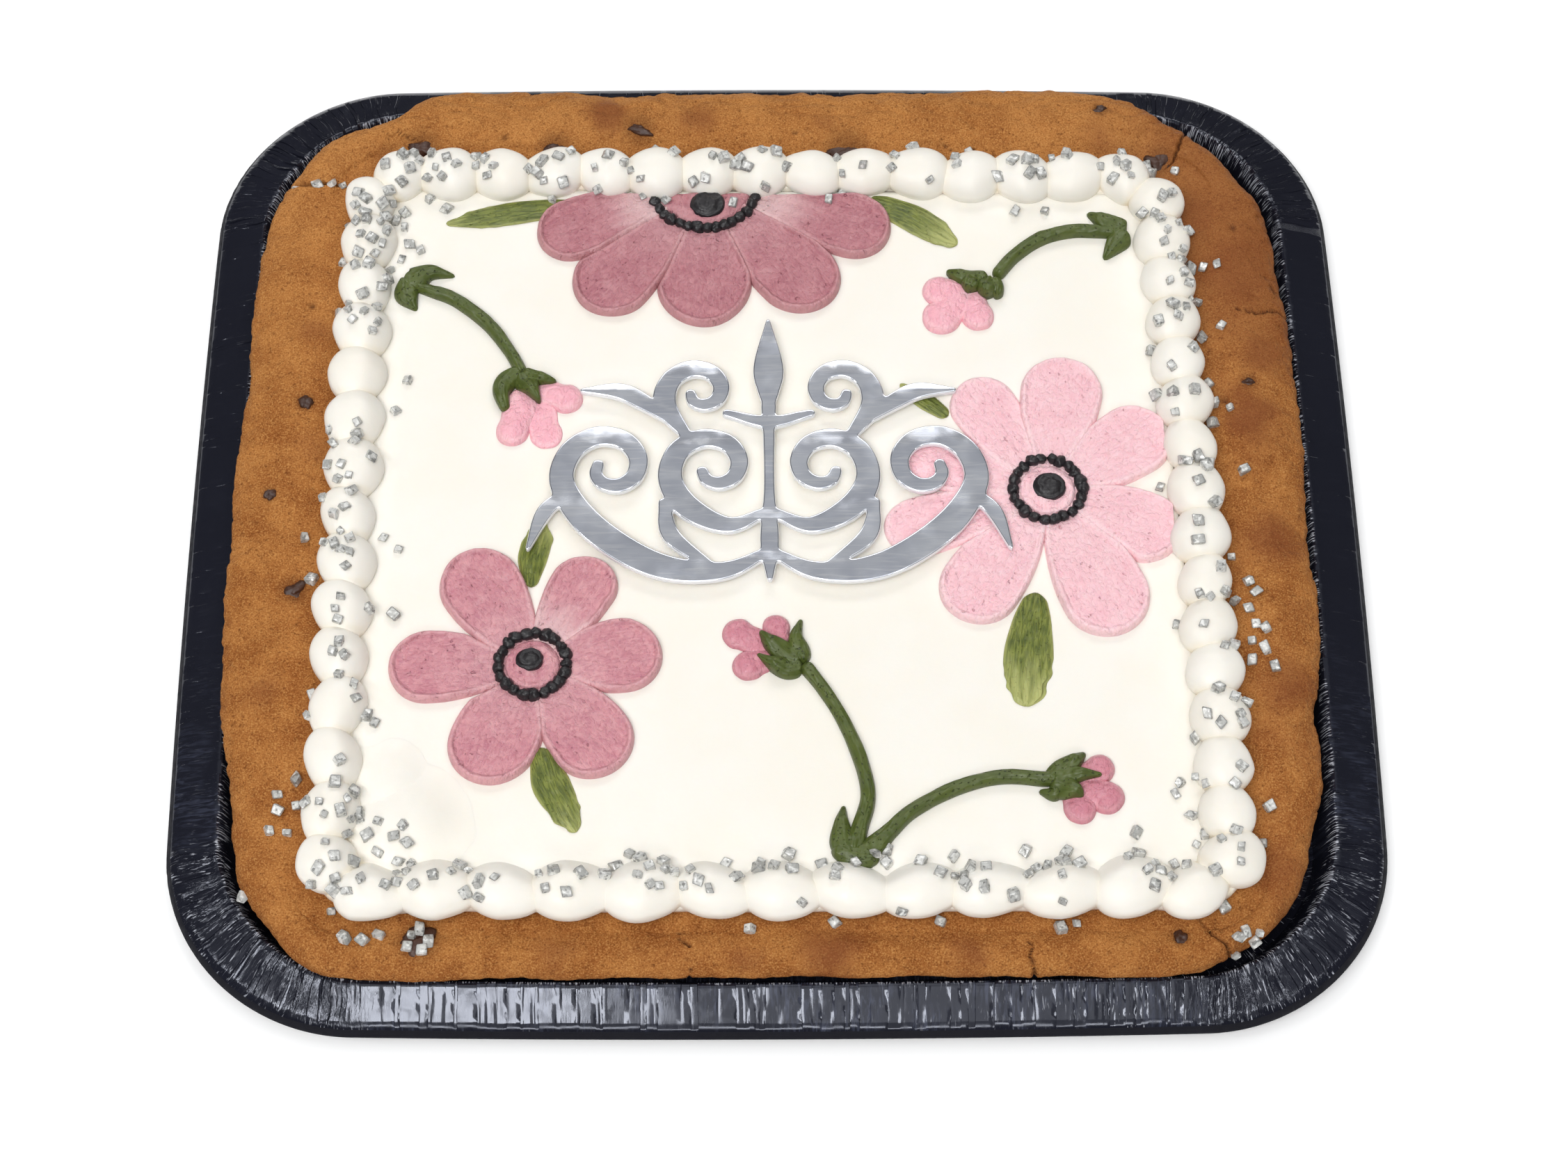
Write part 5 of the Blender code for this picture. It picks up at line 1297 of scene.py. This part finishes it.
def petal_height(grid_u, grid_v, away, length, tip, rise, dish, tucked, seed):
    """The height of each point of a petal, and its share of the dished middle."""
    u, v = grid_u[0], grid_v[0]
    scale = np.clip(tip / 10.0, 0.45, 1.0)
    grown = smoothstep(0.15 * length, 0.62 * length, grid_u)
    top = lerp(PETAL_ROOT_RISE, rise, grown)
    low = lerp(0.8, dish, grown) * top
    edge = np.sqrt(np.clip(1.0 - (1.0 - np.clip(away / (1.3 * scale), 0.0, 1.0)) ** 2, 0.0, 1.0))
    inner = smoothstep(1.1 * scale, 2.5 * scale, away)
    uneven = 1.0 + 0.16 * flat_noise(u, v, 6.0, 6.0, seed + 6) + 0.08 * flat_noise(u, v, 2.0, 2.0, seed + 7)
    crest = lerp(top * uneven[None, :], low, tucked[None, :])
    height = lerp(crest, low, inner)
    height += 0.25 * smoothstep(3.1 * scale, 8.0 * scale, away) * (top - low)
    warped = grid_v + 0.8 * flat_noise(grid_u, grid_v, 6.0, 4.0, seed + 8)
    patchy = smoothstep(-0.3, 0.5, flat_noise(grid_u, grid_v, 9.0, 6.0, seed + 9))
    ripple = 0.10 * flat_noise(grid_u, warped, 7.0, 1.1, seed + 1)
    ripple += (0.12 + 0.10 * inner) * flat_noise(grid_u, warped, 3.4, 2.4, seed + 2)
    ripple += 0.09 * inner * flat_noise(grid_u, warped, 1.3, 1.0, seed + 4)
    dent = smoothstep(0.45, 0.85, flat_noise(grid_u, warped, 2.0, 1.2, seed + 3))
    ripple -= 0.34 * dent * inner * patchy
    return np.maximum((height + ripple) * edge, 0.0), inner


def petal(name, centre, angle, length, tip, rise, finish, seed, left, right, dish):
    """A pressed teardrop with a rounded rim; left and right are where its neighbours begin."""
    far = length - tip
    along = lerp(PETAL_START, far, np.linspace(0.0, 1.0, PETAL_SIDE, endpoint=False))
    half = tip * (1.0 - (1.0 - along / far) ** PETAL_BULGE)
    turn = np.linspace(-0.5 * math.pi, 0.5 * math.pi, PETAL_CAP)
    spine = np.concatenate((along, np.full(PETAL_CAP, far), along[::-1]))
    wave = 1.0 + 0.035 * flat_noise(np.linspace(0.0, 6.0, len(spine)), 0.0, 1.0, 1.0, seed)
    u = np.concatenate((along, far + tip * np.cos(turn) * wave[PETAL_SIDE:-PETAL_SIDE], along[::-1]))
    v = np.concatenate((-half, tip * np.sin(turn), half[::-1])) * wave
    upper = u * math.tan(left) + PETAL_OVER
    lower = -u * math.tan(right) + 0.1
    tucked = smoothstep(-0.5, 1.5, lower - v)
    v = np.minimum(np.maximum(v, lower), upper)
    inward = np.concatenate((np.linspace(0.0, 0.32, 14), np.linspace(0.36, 1.0, 17)))[:, None]
    grid_u = lerp(u[None, :], spine[None, :], inward)
    grid_v = lerp(v[None, :], 0.0, inward)
    away = inward * np.hypot(u - spine, v)[None, :]
    height, inner = petal_height(grid_u, grid_v, away, length, tip, rise, dish, tucked, seed)
    tilt = math.radians(angle)
    x = centre[0] + grid_u * math.cos(tilt) - grid_v * math.sin(tilt)
    y = centre[1] + grid_u * math.sin(tilt) + grid_v * math.cos(tilt)
    rows, count = grid_u.shape
    top = np.stack((x, y, LIE_Z + height), axis=-1)
    skirt = np.stack((x[0], y[0], np.full(count, SKIRT_Z)), axis=-1)
    points = np.concatenate((skirt, top.reshape(-1, 3)))
    smear = 0.5 + 0.5 * flat_noise(grid_u, grid_v, 14.0, 2.2, seed + 4)
    thin = PALE_ROOTS.get(name, 0.12) * smoothstep(0.72 * length, 0.3 * length, grid_u + 6.0 * smear)
    run = np.stack((grid_v + 40.0 * seed, grid_u, np.zeros_like(grid_u)), axis=-1)
    layers = {"thin": np.concatenate((np.zeros(count), thin.ravel())),
              "edge": np.concatenate((np.ones(count), (1.0 - inner).ravel())),
              "along": np.concatenate((run[0], run.reshape(-1, 3))) * MM}
    made = make(name, points, tube_faces(rows + 1, count, last=False), finish, layers, sharp=60.0)
    trim(made)
    return made


def build_petals(name, flower, finish):
    for i, (angle, length, tip, rise) in enumerate(flower["petals"]):
        left, right = half_sectors(flower["petals"], i)
        made = petal(f"piped_{name}_{i + 1}", flower["centre"], angle, length, tip, rise, finish,
                     5 + 10 * len(name) + i, left, right, flower["dish"])
        settle(made, flower["slot"], f"{name}_{i + 1}")


def trim(piece):
    """Cuts off what would run under the border's beads."""
    corners = field_frame(FIELD_INSET - 3.0)
    bm = bmesh.new()
    bm.from_mesh(piece.data)
    for side in range(4):
        start, _, _, out = side_of(corners, side)
        cut = bmesh.ops.bisect_plane(bm, geom=bm.verts[:] + bm.edges[:] + bm.faces[:],
                                     plane_co=(start[0] * MM, start[1] * MM, 0.0),
                                     plane_no=(out[0], out[1], 0.0), clear_outer=True)
        rim = [made for made in cut["geom_cut"] if isinstance(made, bmesh.types.BMEdge)]
        if rim:
            bmesh.ops.holes_fill(bm, edges=rim)
    bm.to_mesh(piece.data)
    bm.free()


def build_ring(name, flower, finish):
    """A ring of small piped beads."""
    draws = random.Random(len(name))
    beads = []
    count = round(math.tau * flower["ring"] / RING_SPACING)
    for step in range(count):
        angle = math.tau * (step + draws.uniform(-0.12, 0.12)) / count
        reach = flower["ring"] + draws.uniform(-0.25, 0.25)
        size = RING_BEAD_RADIUS * draws.uniform(0.86, 1.12)
        x = flower["centre"][0] + reach * math.cos(angle)
        y = flower["centre"][1] + reach * math.sin(angle)
        if y > RING_FAR_Y:
            continue
        longer = draws.uniform(0.96, 1.22)
        beads.append(lump("bead", (x, y, RING_Z + 0.1), (size, size * longer, size * 0.95),
                          angle + draws.gauss(0.0, 0.35), finish, step, 0.26, rows=16))
    settle(joined(f"piped_ring_{name}", beads), "dark_icing", f"ring_{name}")


def build_ruffle(name, flower, finish):
    """The folded icing inside a ring, round its dot."""
    centre = np.array(flower["centre"])
    radius = flower["ring"] - RING_BEAD_RADIUS - 0.1
    around, rows = 72, 22
    theta = turns(around)
    share = np.linspace(0.02, 1.0, rows)[:, None]
    x = centre[0] + radius * share * np.cos(theta)
    y = centre[1] + radius * share * np.sin(theta)
    curl = 0.5 + 0.5 * np.cos(theta + 1.35 * math.tau * share + 2.1 * flat_noise(x, y, 5.0, 5.0, 3))
    height = RUFFLE_RISE * (0.35 + 0.65 * curl) * np.clip(1.0 - share ** 6, 0.0, 1.0) ** 0.5
    height = height + 0.16 * flat_noise(x, y, 1.8, 1.8, 5) * (1.0 - share ** 4)
    top = np.stack((x, y, FIELD_Z + 0.35 + height), axis=-1)
    points, faces = standing(top, SKIRT_Z, open_middle=True)
    low = np.concatenate(((1.0 - curl).ravel(), np.zeros(around)))
    layers = {"thin": np.zeros(len(points)), "edge": 0.6 - 0.6 * low, "along": (points + 70.0) * MM}
    ruffle = make(f"piped_ruffle_{name}", points, faces, finish, layers, sharp=60.0)
    trim(ruffle)
    settle(ruffle, flower["slot"])


def build_dot(name, flower, finish):
    """A mound of icing, wound in a flat swirl."""
    centre = np.array(flower["centre"]) + flower["dot_shift"]
    theta = turns(56)
    share = np.linspace(0.0, 1.0, 26)[:, None]
    reach = flower["dot"] * np.sin(share * math.pi / 2.0) ** 0.9
    dome = np.cos(share * math.pi / 2.0) ** 0.55
    swirl = 0.5 + 0.5 * np.cos(theta + 2.2 * math.tau * share)
    height = DOT_RISE * 0.92 * dome - 0.42 * swirl * np.sin(share * math.pi)
    x = centre[0] + reach * np.cos(theta)
    y = centre[1] + 0.92 * reach * np.sin(theta)
    top = np.stack((x, y, RING_Z - 0.6 + np.maximum(height, 0.0)), axis=-1)
    top += 0.22 * noise(top, 1.5, 3)[..., None]
    points, faces = standing(top, RING_Z - 1.0)
    dot = make(f"piped_dot_{name}", points, faces, finish)
    settle(dot, "dark_icing", f"dot_{name}")


def build_bud(name, x, y, radius, rise, finish):
    """A small puffed petal that comes out from under the tips of its calyx."""
    root_x, root_y = CALYXES[name[:-2]] if name[-1] in "abc" else CALYXES["bud_near_right"]
    away = math.hypot(x - root_x, y - root_y)
    root = math.atan2(root_y - y, root_x - x)
    around, rows = 64, 22
    theta = turns(around)
    share = np.linspace(0.0, 1.0, rows)[:, None] ** 0.8
    toward = np.clip(np.cos(theta - root), 0.0, 1.0)
    circle = np.stack((np.cos(theta), np.sin(theta), 0.0 * theta), axis=-1)
    reach = radius * (1.0 + max(away / radius - 0.9, 0.0) * toward ** 5)
    reach = reach * (1.0 + 0.04 * noise(circle, 0.7, ord(name[-1])))
    dome = np.clip(1.0 - share ** 2.6, 0.0, 1.0) ** 0.55
    height = rise * dome * (1.0 - 0.45 * toward * share)
    top = np.stack((x + reach * share * np.cos(theta), y + reach * share * np.sin(theta),
                    LIE_Z + height), axis=-1)
    top[..., 2] += 0.10 * noise(top, 2.2, 3) * dome
    points, faces = standing(top, SKIRT_Z)
    rim = np.exp(-((share - 0.82) / 0.12) ** 2) * np.ones_like(theta)
    layers = {"thin": np.zeros(len(points)), "edge": np.concatenate((rim.ravel(), np.zeros(around))),
              "along": points * (MM, MM, 0.0)}
    bud = make("piped_" + name, points, faces, finish, layers, sharp=60.0)
    settle(bud, "mauve_icing" if "near" in name else "pink_icing", name)


# Strokes

def stroke(name, points, rise, finish, seed, steps, across,
           fade=None, fray=0.0, ridges=0.12, lift=0.0):
    """A piped or brushed stroke with a flat underside along points of x, y and width."""
    path = smooth_path(points, steps)
    side = sides_of(path)
    width = np.maximum(path[:, 2], 0.3)
    length = np.concatenate(([0.0], np.cumsum(np.linalg.norm(np.diff(path[:, :2], axis=0), axis=1))))
    share = length / length[-1]
    width = width * (1.0 + 0.05 * flat_noise(length, 0.0, 8.0, 1.0, seed))
    ends = np.minimum(length / (0.45 * width[0] + 0.2), (length[-1] - length) / (0.45 * width[-1] + 0.2))
    width = width * np.sqrt(np.clip(1.0 - (1.0 - np.clip(ends, 0.02, 1.0)) ** 2, 0.0, 1.0))
    tall = np.array([rise(w) for w in width])[:, None]
    length, share, width = length[:, None], share[:, None], width[:, None]
    q = np.cos(np.linspace(math.pi, 0.0, across))[None, :]
    loose = fray * smoothstep(0.45, 1.0, share)
    offset = 0.5 * width * q * (1.0 + loose * flat_noise(length, q, 3.4, 0.22, seed + 3))
    height = tall * np.sqrt(np.clip(1.0 - q ** 2, 0.0, 1.0)) ** 0.8
    groove = flat_noise(length, q, 7.0, 0.16, seed) + 0.5 * flat_noise(length, q, 1.8, 0.4, seed + 1)
    height = np.maximum(height * (1.0 + ridges * groove) + 0.06, 0.02)
    height = height + lift * smoothstep(0.2, 0.7, share)
    x = path[:, 0][:, None] + side[:, 0][:, None] * offset
    y = path[:, 1][:, None] + side[:, 1][:, None] * offset
    top = np.stack((x, y, LIE_Z + height), axis=-1)
    base = np.stack((x[:, ::-1], y[:, ::-1], np.full(x.shape, SKIRT_Z)), axis=-1)[:, 1:-1][:, ::6]
    ring = np.concatenate((top, base), axis=1)
    rows, count = ring.shape[:2]
    thin = np.zeros((rows, count))
    if fade:
        streak = 0.5 + 0.5 * flat_noise(length, q, 9.0, 0.24, seed + 5)
        faded = smoothstep(*fade, share + 0.35 * (streak - 0.5)) * smoothstep(-0.3, 0.5, streak) * 0.9
        thin[:, :across] = np.maximum(faded, 0.5 * smoothstep(0.80, 1.0, np.abs(q)))
    run = np.zeros((rows, count, 3))
    run[:, :across, 0] = offset + 30.0 * seed
    run[..., 1] = length
    layers = {"thin": thin.ravel(), "along": run.reshape(-1, 3) * MM}
    made = make(name, ring, tube_faces(rows, count), finish, layers)
    trim(made)
    return made


def build_leaves(finish):
    for k, (name, points) in enumerate(LEAVES.items()):
        leaf = stroke("brushed_" + name, points, lambda width: min(LEAF_RISE, 0.3 + 0.1 * width), finish,
                      60 + k, 22, 29, fade=LEAF_FADES.get(name, (0.45, 1.15)), fray=0.34, ridges=0.45)
        settle(leaf, "green_icing", name)


def build_sprigs(finish):
    for k, (name, strokes) in enumerate(SPRIGS.items()):
        parts = []
        for j, (points, lift) in enumerate([(points, 0.0) for points in strokes] + list(CALYX_TIPS[name])):
            parts.append(stroke("part", points, lambda width: min(0.72 * width, 3.1), finish,
                                90 + 12 * k + j, 16, 19, ridges=0.2, lift=lift))
        sprig = joined("piped_" + name, parts)
        sprig.data.shade_smooth()
        settle(sprig, "green_icing", name)


# Topper

def scroll_points(lead, scroll):
    """The points of a stroke, with those of the scroll that it ends in."""
    points = list(lead)
    if scroll:
        x, y, radius_from, radius_to, start, sweep, width_from, width_to = scroll
        count = round(sweep / SCROLL_STEP)
        for step in range(count + 1):
            share = step / count
            angle = math.radians(start + sweep * share)
            radius = lerp(radius_from, radius_to, share ** 0.8)
            points.append((x + radius * math.cos(angle), y + radius * math.sin(angle),
                           lerp(width_from, width_to, share)))
    return np.array(points)


def topper_strokes():
    """All strokes of the topper: those in the middle, and each of one half with its mirror image."""
    strokes = [smooth_path(points, 10) for points in TOPPER_MIDDLE]
    for lead, scroll in TOPPER_HALF:
        path = smooth_path(scroll_points(lead, scroll), 10)
        strokes.append(path)
        strokes.append(path * np.array((-1.0, 1.0, 1.0)))
    return [path + np.array((TOPPER_X, 0.0, 0.0)) for path in strokes]


def topper_field(x, y, strokes):
    """How far inside the topper's outline a point lies, in millimetres."""
    inside = np.full(x.shape, -50.0)
    for path in strokes:
        for a, b in zip(path, path[1:]):
            away, t = segment_distance(x, y, a, b)
            inside = np.maximum(inside, 0.5 * lerp(a[2], b[2], t) - away)
    return inside


def contours(field, x, y):
    """Closed loops where a grid of values passes through nought."""
    following, places = {}, {}

    def crossing(i, j, k, m):
        a, b = field[i, j], field[k, m]
        t = a / (a - b)
        return (lerp(x[j], x[m], t), lerp(y[i], y[k], t))

    inside = field > 0
    mixed = inside[:-1, :-1] != inside[1:, 1:]
    mixed |= (inside[:-1, 1:] != inside[1:, 1:]) | (inside[1:, :-1] != inside[1:, 1:])
    for i, j in zip(*np.nonzero(mixed)):
        corner = (inside[i, j], inside[i, j + 1], inside[i + 1, j + 1], inside[i + 1, j])
        ends = (("h", i, j), ("v", i, j + 1), ("h", i + 1, j), ("v", i, j))
        spans = ((i, j, i, j + 1), (i, j + 1, i + 1, j + 1), (i + 1, j, i + 1, j + 1), (i, j, i + 1, j))
        cut = [k for k in range(4) if corner[k] != corner[(k + 1) % 4]]
        for k in cut:
            places[ends[k]] = crossing(*spans[k])
        # each cut edge that leaves the inside is paired with the next that enters it
        for k in cut:
            if corner[k]:
                entering = [m for m in cut if not corner[m]]
                nearest = min(entering, key=lambda m: (m - k) % 4)
                following[ends[k]] = ends[nearest]
    found = []
    while following:
        start, end = following.popitem()
        loop = [start]
        while end != start:
            loop.append(end)
            end = following.pop(end)
        found.append(np.array([places[key] for key in loop]))
    return found


def topper_curve():
    """The scrollwork's outlines as a flat curve with thickness and rounded edges."""
    strokes = topper_strokes()
    everything = np.concatenate(strokes)[:, :2]
    low, high = everything.min(axis=0) - 8.0, everything.max(axis=0) + 8.0
    x = np.arange(low[0], high[0], TOPPER_GRID)
    y = np.arange(low[1], high[1], TOPPER_GRID)
    field = topper_field(*np.meshgrid(x, y), strokes)
    curve = bpy.data.curves.new("scrollwork", "CURVE")
    curve.dimensions = "2D"
    curve.fill_mode = "BOTH"
    curve.extrude = (0.5 * TOPPER_THICK - TOPPER_EDGE) * MM
    curve.bevel_depth = TOPPER_EDGE * MM
    curve.bevel_resolution = 3
    curve.offset = -TOPPER_EDGE * MM
    for loop in contours(field, x, y):
        if len(loop) < 12:
            continue
        for _ in range(2):
            loop = 0.5 * loop + 0.25 * (np.roll(loop, 1, axis=0) + np.roll(loop, -1, axis=0))
        spline = curve.splines.new("POLY")
        spline.points.add(len(loop) - 1)
        flat = np.column_stack((loop * MM, np.zeros(len(loop)), np.ones(len(loop))))
        spline.points.foreach_set("co", flat.ravel())
        spline.use_cyclic_u = True
    return curve


def build_topper(face, edge):
    holder = linked("scrollwork", topper_curve())
    graph = bpy.context.evaluated_depsgraph_get()
    mesh = bpy.data.meshes.new_from_object(holder.evaluated_get(graph))
    bpy.data.objects.remove(holder, do_unlink=True)
    mesh.transform(Matrix.Translation((0.0, 0.0, (TOPPER_Z + 0.5 * TOPPER_THICK) * MM)))
    tidy(mesh, 32.0)
    mesh.materials.clear()
    mesh.materials.append(face)
    mesh.materials.append(edge)
    for polygon in mesh.polygons:
        polygon.material_index = 0 if polygon.normal.z > 0.8 else 1
    settle(linked("mirror_scrollwork", mesh), "mirror_topper", "topper")


# Crystals

def tree_of(*pieces):
    """One tree of the surfaces of several pieces."""
    points, faces = [], []
    for piece in pieces:
        start = len(points)
        points += [vert.co.copy() for vert in piece.data.vertices]
        faces += [[start + k for k in polygon.vertices] for polygon in piece.data.polygons]
    return BVHTree.FromPolygons(points, faces)


def block_shape(bevel):
    """A cube of half-size 1 with cut edges: its points, its sides, its cut edges and corners."""
    points, index = [], {}
    for corner in range(8):
        sign = [1.0 if corner >> k & 1 else -1.0 for k in range(3)]
        for axis in range(3):
            point = [sign[k] * (1.0 if k == axis else 1.0 - bevel) for k in range(3)]
            index[corner, axis] = len(points)
            points.append(point)
    quads, cuts, triangles = [], [], []
    for axis in range(3):
        a, b = (axis + 1) % 3, (axis + 2) % 3
        for side in (0, 1):
            loop = [(side << axis) | (i << a) | (j << b) for i, j in ((0, 0), (1, 0), (1, 1), (0, 1))]
            quads.append([index[corner, axis] for corner in loop])
        for i, j in ((0, 0), (1, 0), (1, 1), (0, 1)):
            low = (i << a) | (j << b)
            high = low | (1 << axis)
            cuts.append([index[low, a], index[high, a], index[high, b], index[low, b]])
    for corner in range(8):
        triangles.append([index[corner, axis] for axis in range(3)])
    return np.array(points), np.array(quads), np.array(cuts), np.array(triangles)


def crystal_places():
    """Where the crystals lie: singly, in heaps, then in drifts along the border."""
    draws = random.Random(4)
    places = list(COOKIE_CRYSTALS + ICING_CRYSTALS)

    def gap_at(spot):
        return min(math.hypot(spot[0] - x, spot[1] - y) for x, y in places)

    for x, y, spread_x, spread_y, number in CRYSTAL_GROUPS:
        for _ in range(number):
            for _ in range(40):
                spot = (draws.gauss(x, spread_x), draws.gauss(y, spread_y))
                if gap_at(spot) > 3.1:
                    places.append(spot)
                    break
    for side, first, last, lean, spread, number in CRYSTAL_DRIFTS:
        start, end, _, out = side_of(BORDER_CORNERS, side)
        made = 0
        while made < number:
            share = draws.uniform(first, last)
            across = BEAD_RADIUS * draws.gauss(lean, spread)
            spot = lerp(start, end, share) + out * (side_bow(side, share) + across)
            if abs(across) <= 1.45 * BEAD_RADIUS and gap_at(spot) >= 2.3:
                places.append((spot[0], spot[1]))
                made += 1
    return places


def build_crystals(tree, finish):
    """Worn, skewed cubes of sugar, each tipped on the surface that it lies on."""
    draws = random.Random(11)
    shape, *groups = block_shape(CRYSTAL_BEVEL)
    points, shades = [], []
    for x, y in crystal_places():
        place, normal = surface_below(tree, x, y)
        if place is None:
            continue
        size = draws.uniform(*CRYSTAL_SIZE)
        normal = (normal + Vector((0.0, 0.0, 0.5))).normalized()
        lie = normal.to_track_quat("Z", "Y").to_matrix()
        spin = Matrix.Rotation(draws.uniform(0.0, math.tau), 3, "Z")
        tip_x, tip_y = (Matrix.Rotation(draws.gauss(0.0, 0.28), 3, axis) for axis in "XY")
        sides = (draws.uniform(0.85, 1.1), draws.uniform(0.75, 1.0), draws.uniform(0.6, 0.9))
        half = np.array(sides) * size / 2
        skew = np.array([[1.0, draws.gauss(0.0, 0.12), draws.gauss(0.0, 0.1)],
                         [0.0, 1.0, draws.gauss(0.0, 0.12)], [0.0, 0.0, 1.0]])
        worn = np.repeat([[draws.uniform(0.78, 1.04) for _ in range(3)] for _ in range(8)], 3, axis=0)
        turned = (shape * worn * half) @ skew.T @ np.array(lie @ tip_x @ tip_y @ spin).T
        points.append(turned + np.array(place) / MM + np.array(normal) * half[2] * 0.55)
        shades.append(draws.uniform(0.0, 1.0))
    starts = (len(shape) * np.arange(len(shades)))[:, None, None]
    faces = [(group[None] + starts).reshape(-1, group.shape[1]) for group in groups]
    layers = {"shade": np.repeat(shades, len(shape))}
    crystals = make("sugar_crystals", np.concatenate(points), faces, finish, layers, sharp=38.0)
    rim = crystals.data.attributes.new("rim", "FLOAT", "FACE")
    rim.data.foreach_set("value", [float(polygon.area < EDGE_FACE * MM ** 2)
                                   for polygon in crystals.data.polygons])
    settle(crystals, "silver_crystal")


# Camera, light and floor

def set_camera(scene):
    elevation, yaw, roll = (math.radians(a) for a in (CAMERA_ELEVATION, CAMERA_YAW, CAMERA_ROLL))
    back = Vector((math.sin(yaw) * math.cos(elevation), -math.cos(yaw) * math.cos(elevation),
                   math.sin(elevation)))
    right = Vector((math.cos(yaw), math.sin(yaw), 0.0))
    up = back.cross(right)
    across = math.cos(roll) * right + math.sin(roll) * up
    upright = -math.sin(roll) * right + math.cos(roll) * up
    lens = bpy.data.cameras.new("photo_camera")
    lens.lens = CAMERA_LENS
    lens.clip_end = 20.0
    camera = linked("photo_camera", lens)
    place = (Vector(CAMERA_TARGET) + back * CAMERA_DISTANCE) * MM
    camera.matrix_world = Matrix.Translation(place) @ Matrix((across, upright, back)).transposed().to_4x4()
    scene.camera = camera


def set_lamps():
    for tilt, across, size, power in SOFTBOXES:
        light = bpy.data.lights.new("softbox", "AREA")
        light.shape = "RECTANGLE"
        light.size, light.size_y = (length * MM for length in size)
        light.energy = power
        lamp = linked("softbox", light)
        away = Vector((0.0, -math.sin(math.radians(tilt)), math.cos(math.radians(tilt))))
        lamp.location = (away * SOFTBOX_DISTANCE + Vector((across, 0.0, 0.0))) * MM
        lamp.rotation_euler = away.to_track_quat("Z", "Y").to_euler()


def set_sky(scene):
    """A dim studio sky, brighter overhead and in front, where the camera is."""
    world = bpy.data.worlds.new("studio")
    scene.world = world
    world.use_nodes = True
    nodes = Nodes(world.node_tree)
    _, ahead, height = nodes.split(nodes.node("ShaderNodeTexCoord").outputs["Generated"])
    overhead = nodes.level(height, 0.62, 0.85, SKY_LOW, SKY_TOP)
    facing = nodes.level(ahead, -0.25, -0.75, 0.0, SKY_FRONT)
    raised = nodes.level(height, 0.50, 0.68)
    total = nodes.node("ShaderNodeMath", {0: facing, 1: raised, 2: overhead}, operation="MULTIPLY_ADD")
    sky = world.node_tree.nodes["Background"]
    sky.inputs["Color"].default_value = (0.97, 0.98, 1.0, 1.0)
    world.node_tree.links.new(total.outputs[0], sky.inputs["Strength"])


def set_floor():
    """A pale floor under the tray."""
    finish = plain_look("floor_white", ((200.0,), (252, 252, 252), (254, 254, 254)), roughness=0.9,
                        specular_ior_level=0.1, emission_strength=0.12)
    corners = [(x * FLOOR_HALF, y * FLOOR_HALF, 0.0) for x, y in ((-1, -1), (1, -1), (1, 1), (-1, 1))]
    floor = make("floor", corners, np.array([[0, 1, 2, 3]]), finish)


def set_stage():
    scene = bpy.context.scene
    scene.view_settings.view_transform = "Standard"
    set_camera(scene)
    set_lamps()
    set_sky(scene)
    set_floor()


def main():
    set_stage()
    white = icing_look("white_icing", (244, 240, 231), (236, 222, 194))
    tinted = {name: tinted_look(name, *tint) for name, tint in TINTS.items()}
    dark = plain_look("dark_icing", ((2.0,), (24, 22, 24), (38, 35, 38)), (0.9, 2.0, 0.22, 0.8),
                      roughness=0.42)
    stem_green = green_look("green_icing", 0.2, 0.7, (72, 84, 32), (98, 109, 50), (196, 197, 130))
    leaf_green = green_look("brushed_green_icing", 0.8, 0.3, (74, 86, 26), (124, 132, 56), (194, 196, 124))
    build_tray(tray_look(), tray_board_look())
    chocolate = plain_look("chocolate", ((2.5, 3.0), (40, 20, 12), (82, 50, 34)), (1.2, 3.0, 0.3, 1.0),
                           roughness=0.45)
    others = set(bpy.data.objects.keys())
    cookie = build_cookie(cookie_look())
    build_chips(tree_of(cookie), chocolate)
    build_border(white)
    build_icing(white)
    for name, flower in FLOWERS.items():
        finish = tinted[flower["finish"]]
        build_petals("petal_" + name, flower, finish)
        build_ruffle(name, flower, finish)
        build_ring(name, flower, dark)
        build_dot(name, flower, dark)
    build_leaves(leaf_green)
    build_sprigs(stem_green)
    for name, (x, y, radius, rise) in BUDS.items():
        build_bud(name, x, y, radius, rise, tinted["mauve_bud" if "near" in name else "pink_bud"])
    food = [piece for piece in bpy.data.objects if piece.name not in others]
    build_crystals(tree_of(*food), crystal_look())
    # painted glow: the topper's edges are near-white, standing in for the light they catch and the white
    # icing they reflect
    edge = plain_look("topper_painted_glow_edge", ((3.0,), (236, 238, 242), (252, 252, 254)), roughness=0.12,
                      specular_ior_level=0.9)
    build_topper(mirror_look(), edge)


main()
